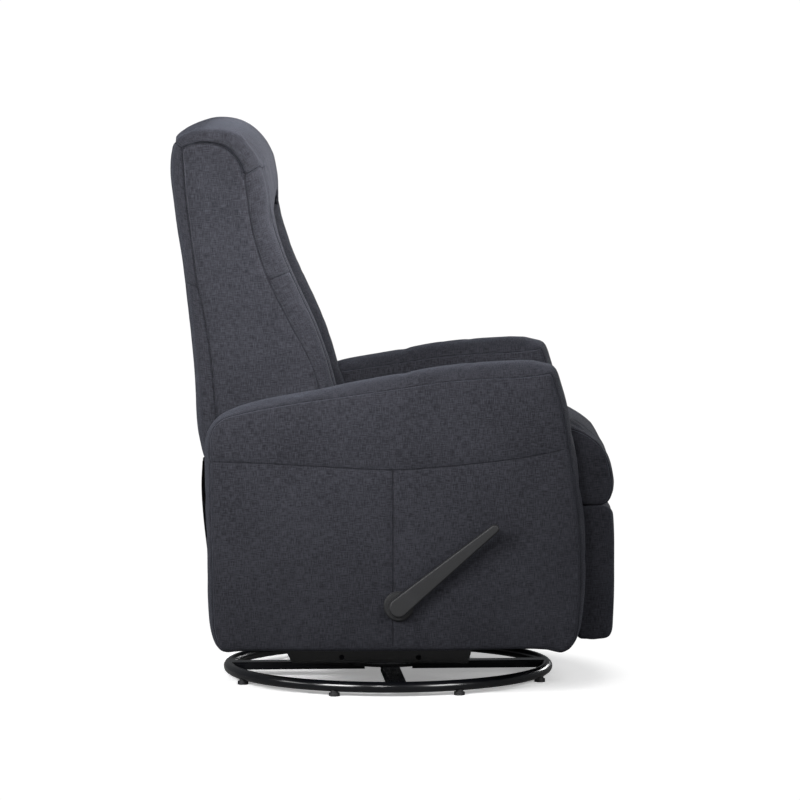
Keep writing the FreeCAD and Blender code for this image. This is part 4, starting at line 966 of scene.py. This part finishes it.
def hang_light(data, place, aim, watts):
    data.energy = watts
    obj = bpy.data.objects.new(data.name, data)
    obj.location = place
    obj.rotation_euler = (Vector(aim) - Vector(place)).to_track_quat("-Z", "Y").to_euler()
    scene.collection.objects.link(obj)


def lamp(name, place, aim, size, watts):
    data = bpy.data.lights.new(name, "AREA")
    data.size = size
    hang_light(data, place, aim, watts)


def spot(name, place, aim, angle, watts):
    data = bpy.data.lights.new(name, "SPOT")
    data.spot_size = math.radians(angle)
    data.spot_blend = 1.0
    data.shadow_soft_size = 0.25
    hang_light(data, place, aim, watts)


def white_floor():
    """White studio floor that keeps the soft shadow near the base and is pure white further out."""
    bpy.ops.mesh.primitive_circle_add(vertices=96, radius=2.4, fill_type="NGON", location=(0, 0, 0))
    floor = bpy.context.object
    floor.name = "studio_floor"
    material = bpy.data.materials.new("studio_floor")
    material.use_nodes = True
    nodes, links = material.node_tree.nodes, material.node_tree.links
    nodes.clear()
    g = Graph(material)
    out = nodes.new("ShaderNodeOutputMaterial")
    diffuse = nodes.new("ShaderNodeBsdfDiffuse")
    diffuse.inputs["Color"].default_value = (1.25, 1.25, 1.25, 1)
    glow = nodes.new("ShaderNodeEmission")
    glow.inputs["Strength"].default_value = PURE_WHITE
    bounce = nodes.new("ShaderNodeEmission")
    bounce.inputs["Strength"].default_value = 0.28
    near = nodes.new("ShaderNodeAddShader")
    dim = nodes.new("ShaderNodeBsdfDiffuse")
    dim.inputs["Color"].default_value = (0.2, 0.2, 0.2, 1)
    path = nodes.new("ShaderNodeLightPath")
    shown = nodes.new("ShaderNodeMixShader")
    mixed = nodes.new("ShaderNodeMixShader")
    length = nodes.new("ShaderNodeVectorMath")
    length.operation = "LENGTH"
    links.new(g.place("Object"), length.inputs[0])
    g.plug(g.ramp(length.outputs["Value"], SHADOW_END, WHITE_START), mixed.inputs[0])
    links.new(diffuse.outputs[0], near.inputs[0])
    links.new(bounce.outputs[0], near.inputs[1])
    links.new(near.outputs[0], mixed.inputs[1])
    links.new(glow.outputs[0], mixed.inputs[2])
    links.new(path.outputs["Is Camera Ray"], shown.inputs[0])
    links.new(dim.outputs[0], shown.inputs[1])
    links.new(mixed.outputs[0], shown.inputs[2])
    links.new(shown.outputs[0], out.inputs[0])
    floor.data.materials.append(material)


def world_light():
    """White to the camera, a soft grey studio for everything else."""
    world = bpy.data.worlds.new("studio")
    scene.world = world
    world.use_nodes = True
    nodes, links = world.node_tree.nodes, world.node_tree.links
    nodes.clear()
    out = nodes.new("ShaderNodeOutputWorld")
    seen = nodes.new("ShaderNodeBackground")
    seen.inputs["Color"].default_value = (1, 1, 1, 1)
    seen.inputs["Strength"].default_value = PURE_WHITE
    lit = nodes.new("ShaderNodeBackground")
    lit.inputs["Color"].default_value = (0.93, 0.96, 1.0, 1)
    lit.inputs["Strength"].default_value = 0.115
    mixed = nodes.new("ShaderNodeMixShader")
    path = nodes.new("ShaderNodeLightPath")
    links.new(path.outputs["Is Camera Ray"], mixed.inputs[0])
    links.new(lit.outputs[0], mixed.inputs[1])
    links.new(seen.outputs[0], mixed.inputs[2])
    links.new(mixed.outputs[0], out.inputs[0])


def studio():
    white_floor()
    world_light()
    lamp("key", (-3.1, 2.2, 1.8), (0, 0, 0.6), 1.6, 158)
    lamp("front", (-2.9, -2.4, 1.7), (0, 0, 0.7), 1.4, 84)
    lamp("rear", (-1.2, 3.0, 1.4), (-0.2, 0.3, 0.7), 1.2, 22)
    lamp("far", (3.0, -1.8, 1.4), (0, 0, 0.5), 1.4, 40)
    lamp("top", (-0.2, 0.2, 3.3), (0, 0, 0.4), 2.6, 7)
    spot("back", (-2.6, 0.3, 1.5), (-0.24, 0.16, 0.8), 34, 410)
    spot("head", (-0.6, -2.4, 1.3), (-0.1, 0.22, 0.95), 15, 1500)


def camera():
    """Long lens at sitting-eye height, square to the handle's side."""
    data = bpy.data.cameras.new("camera")
    data.sensor_width = 36
    data.lens = 215.83
    data.clip_end = 60
    obj = bpy.data.objects.new("camera", data)
    obj.location = (-8.836, -0.0222, 1.247)
    obj.rotation_euler = (math.radians(90 - 4.76), 0, math.radians(-90))
    scene.collection.objects.link(obj)
    scene.camera = obj


finish_frame()
for side, word in SIDES:
    padded_arm(side, word)
    side_pad(side, word)
seat_cushion()
footrest_pad()
back_cover()
head_pillow()
lumbar_cushion()
rear_flap()
studio()
camera()
scene.view_settings.view_transform = "Standard"
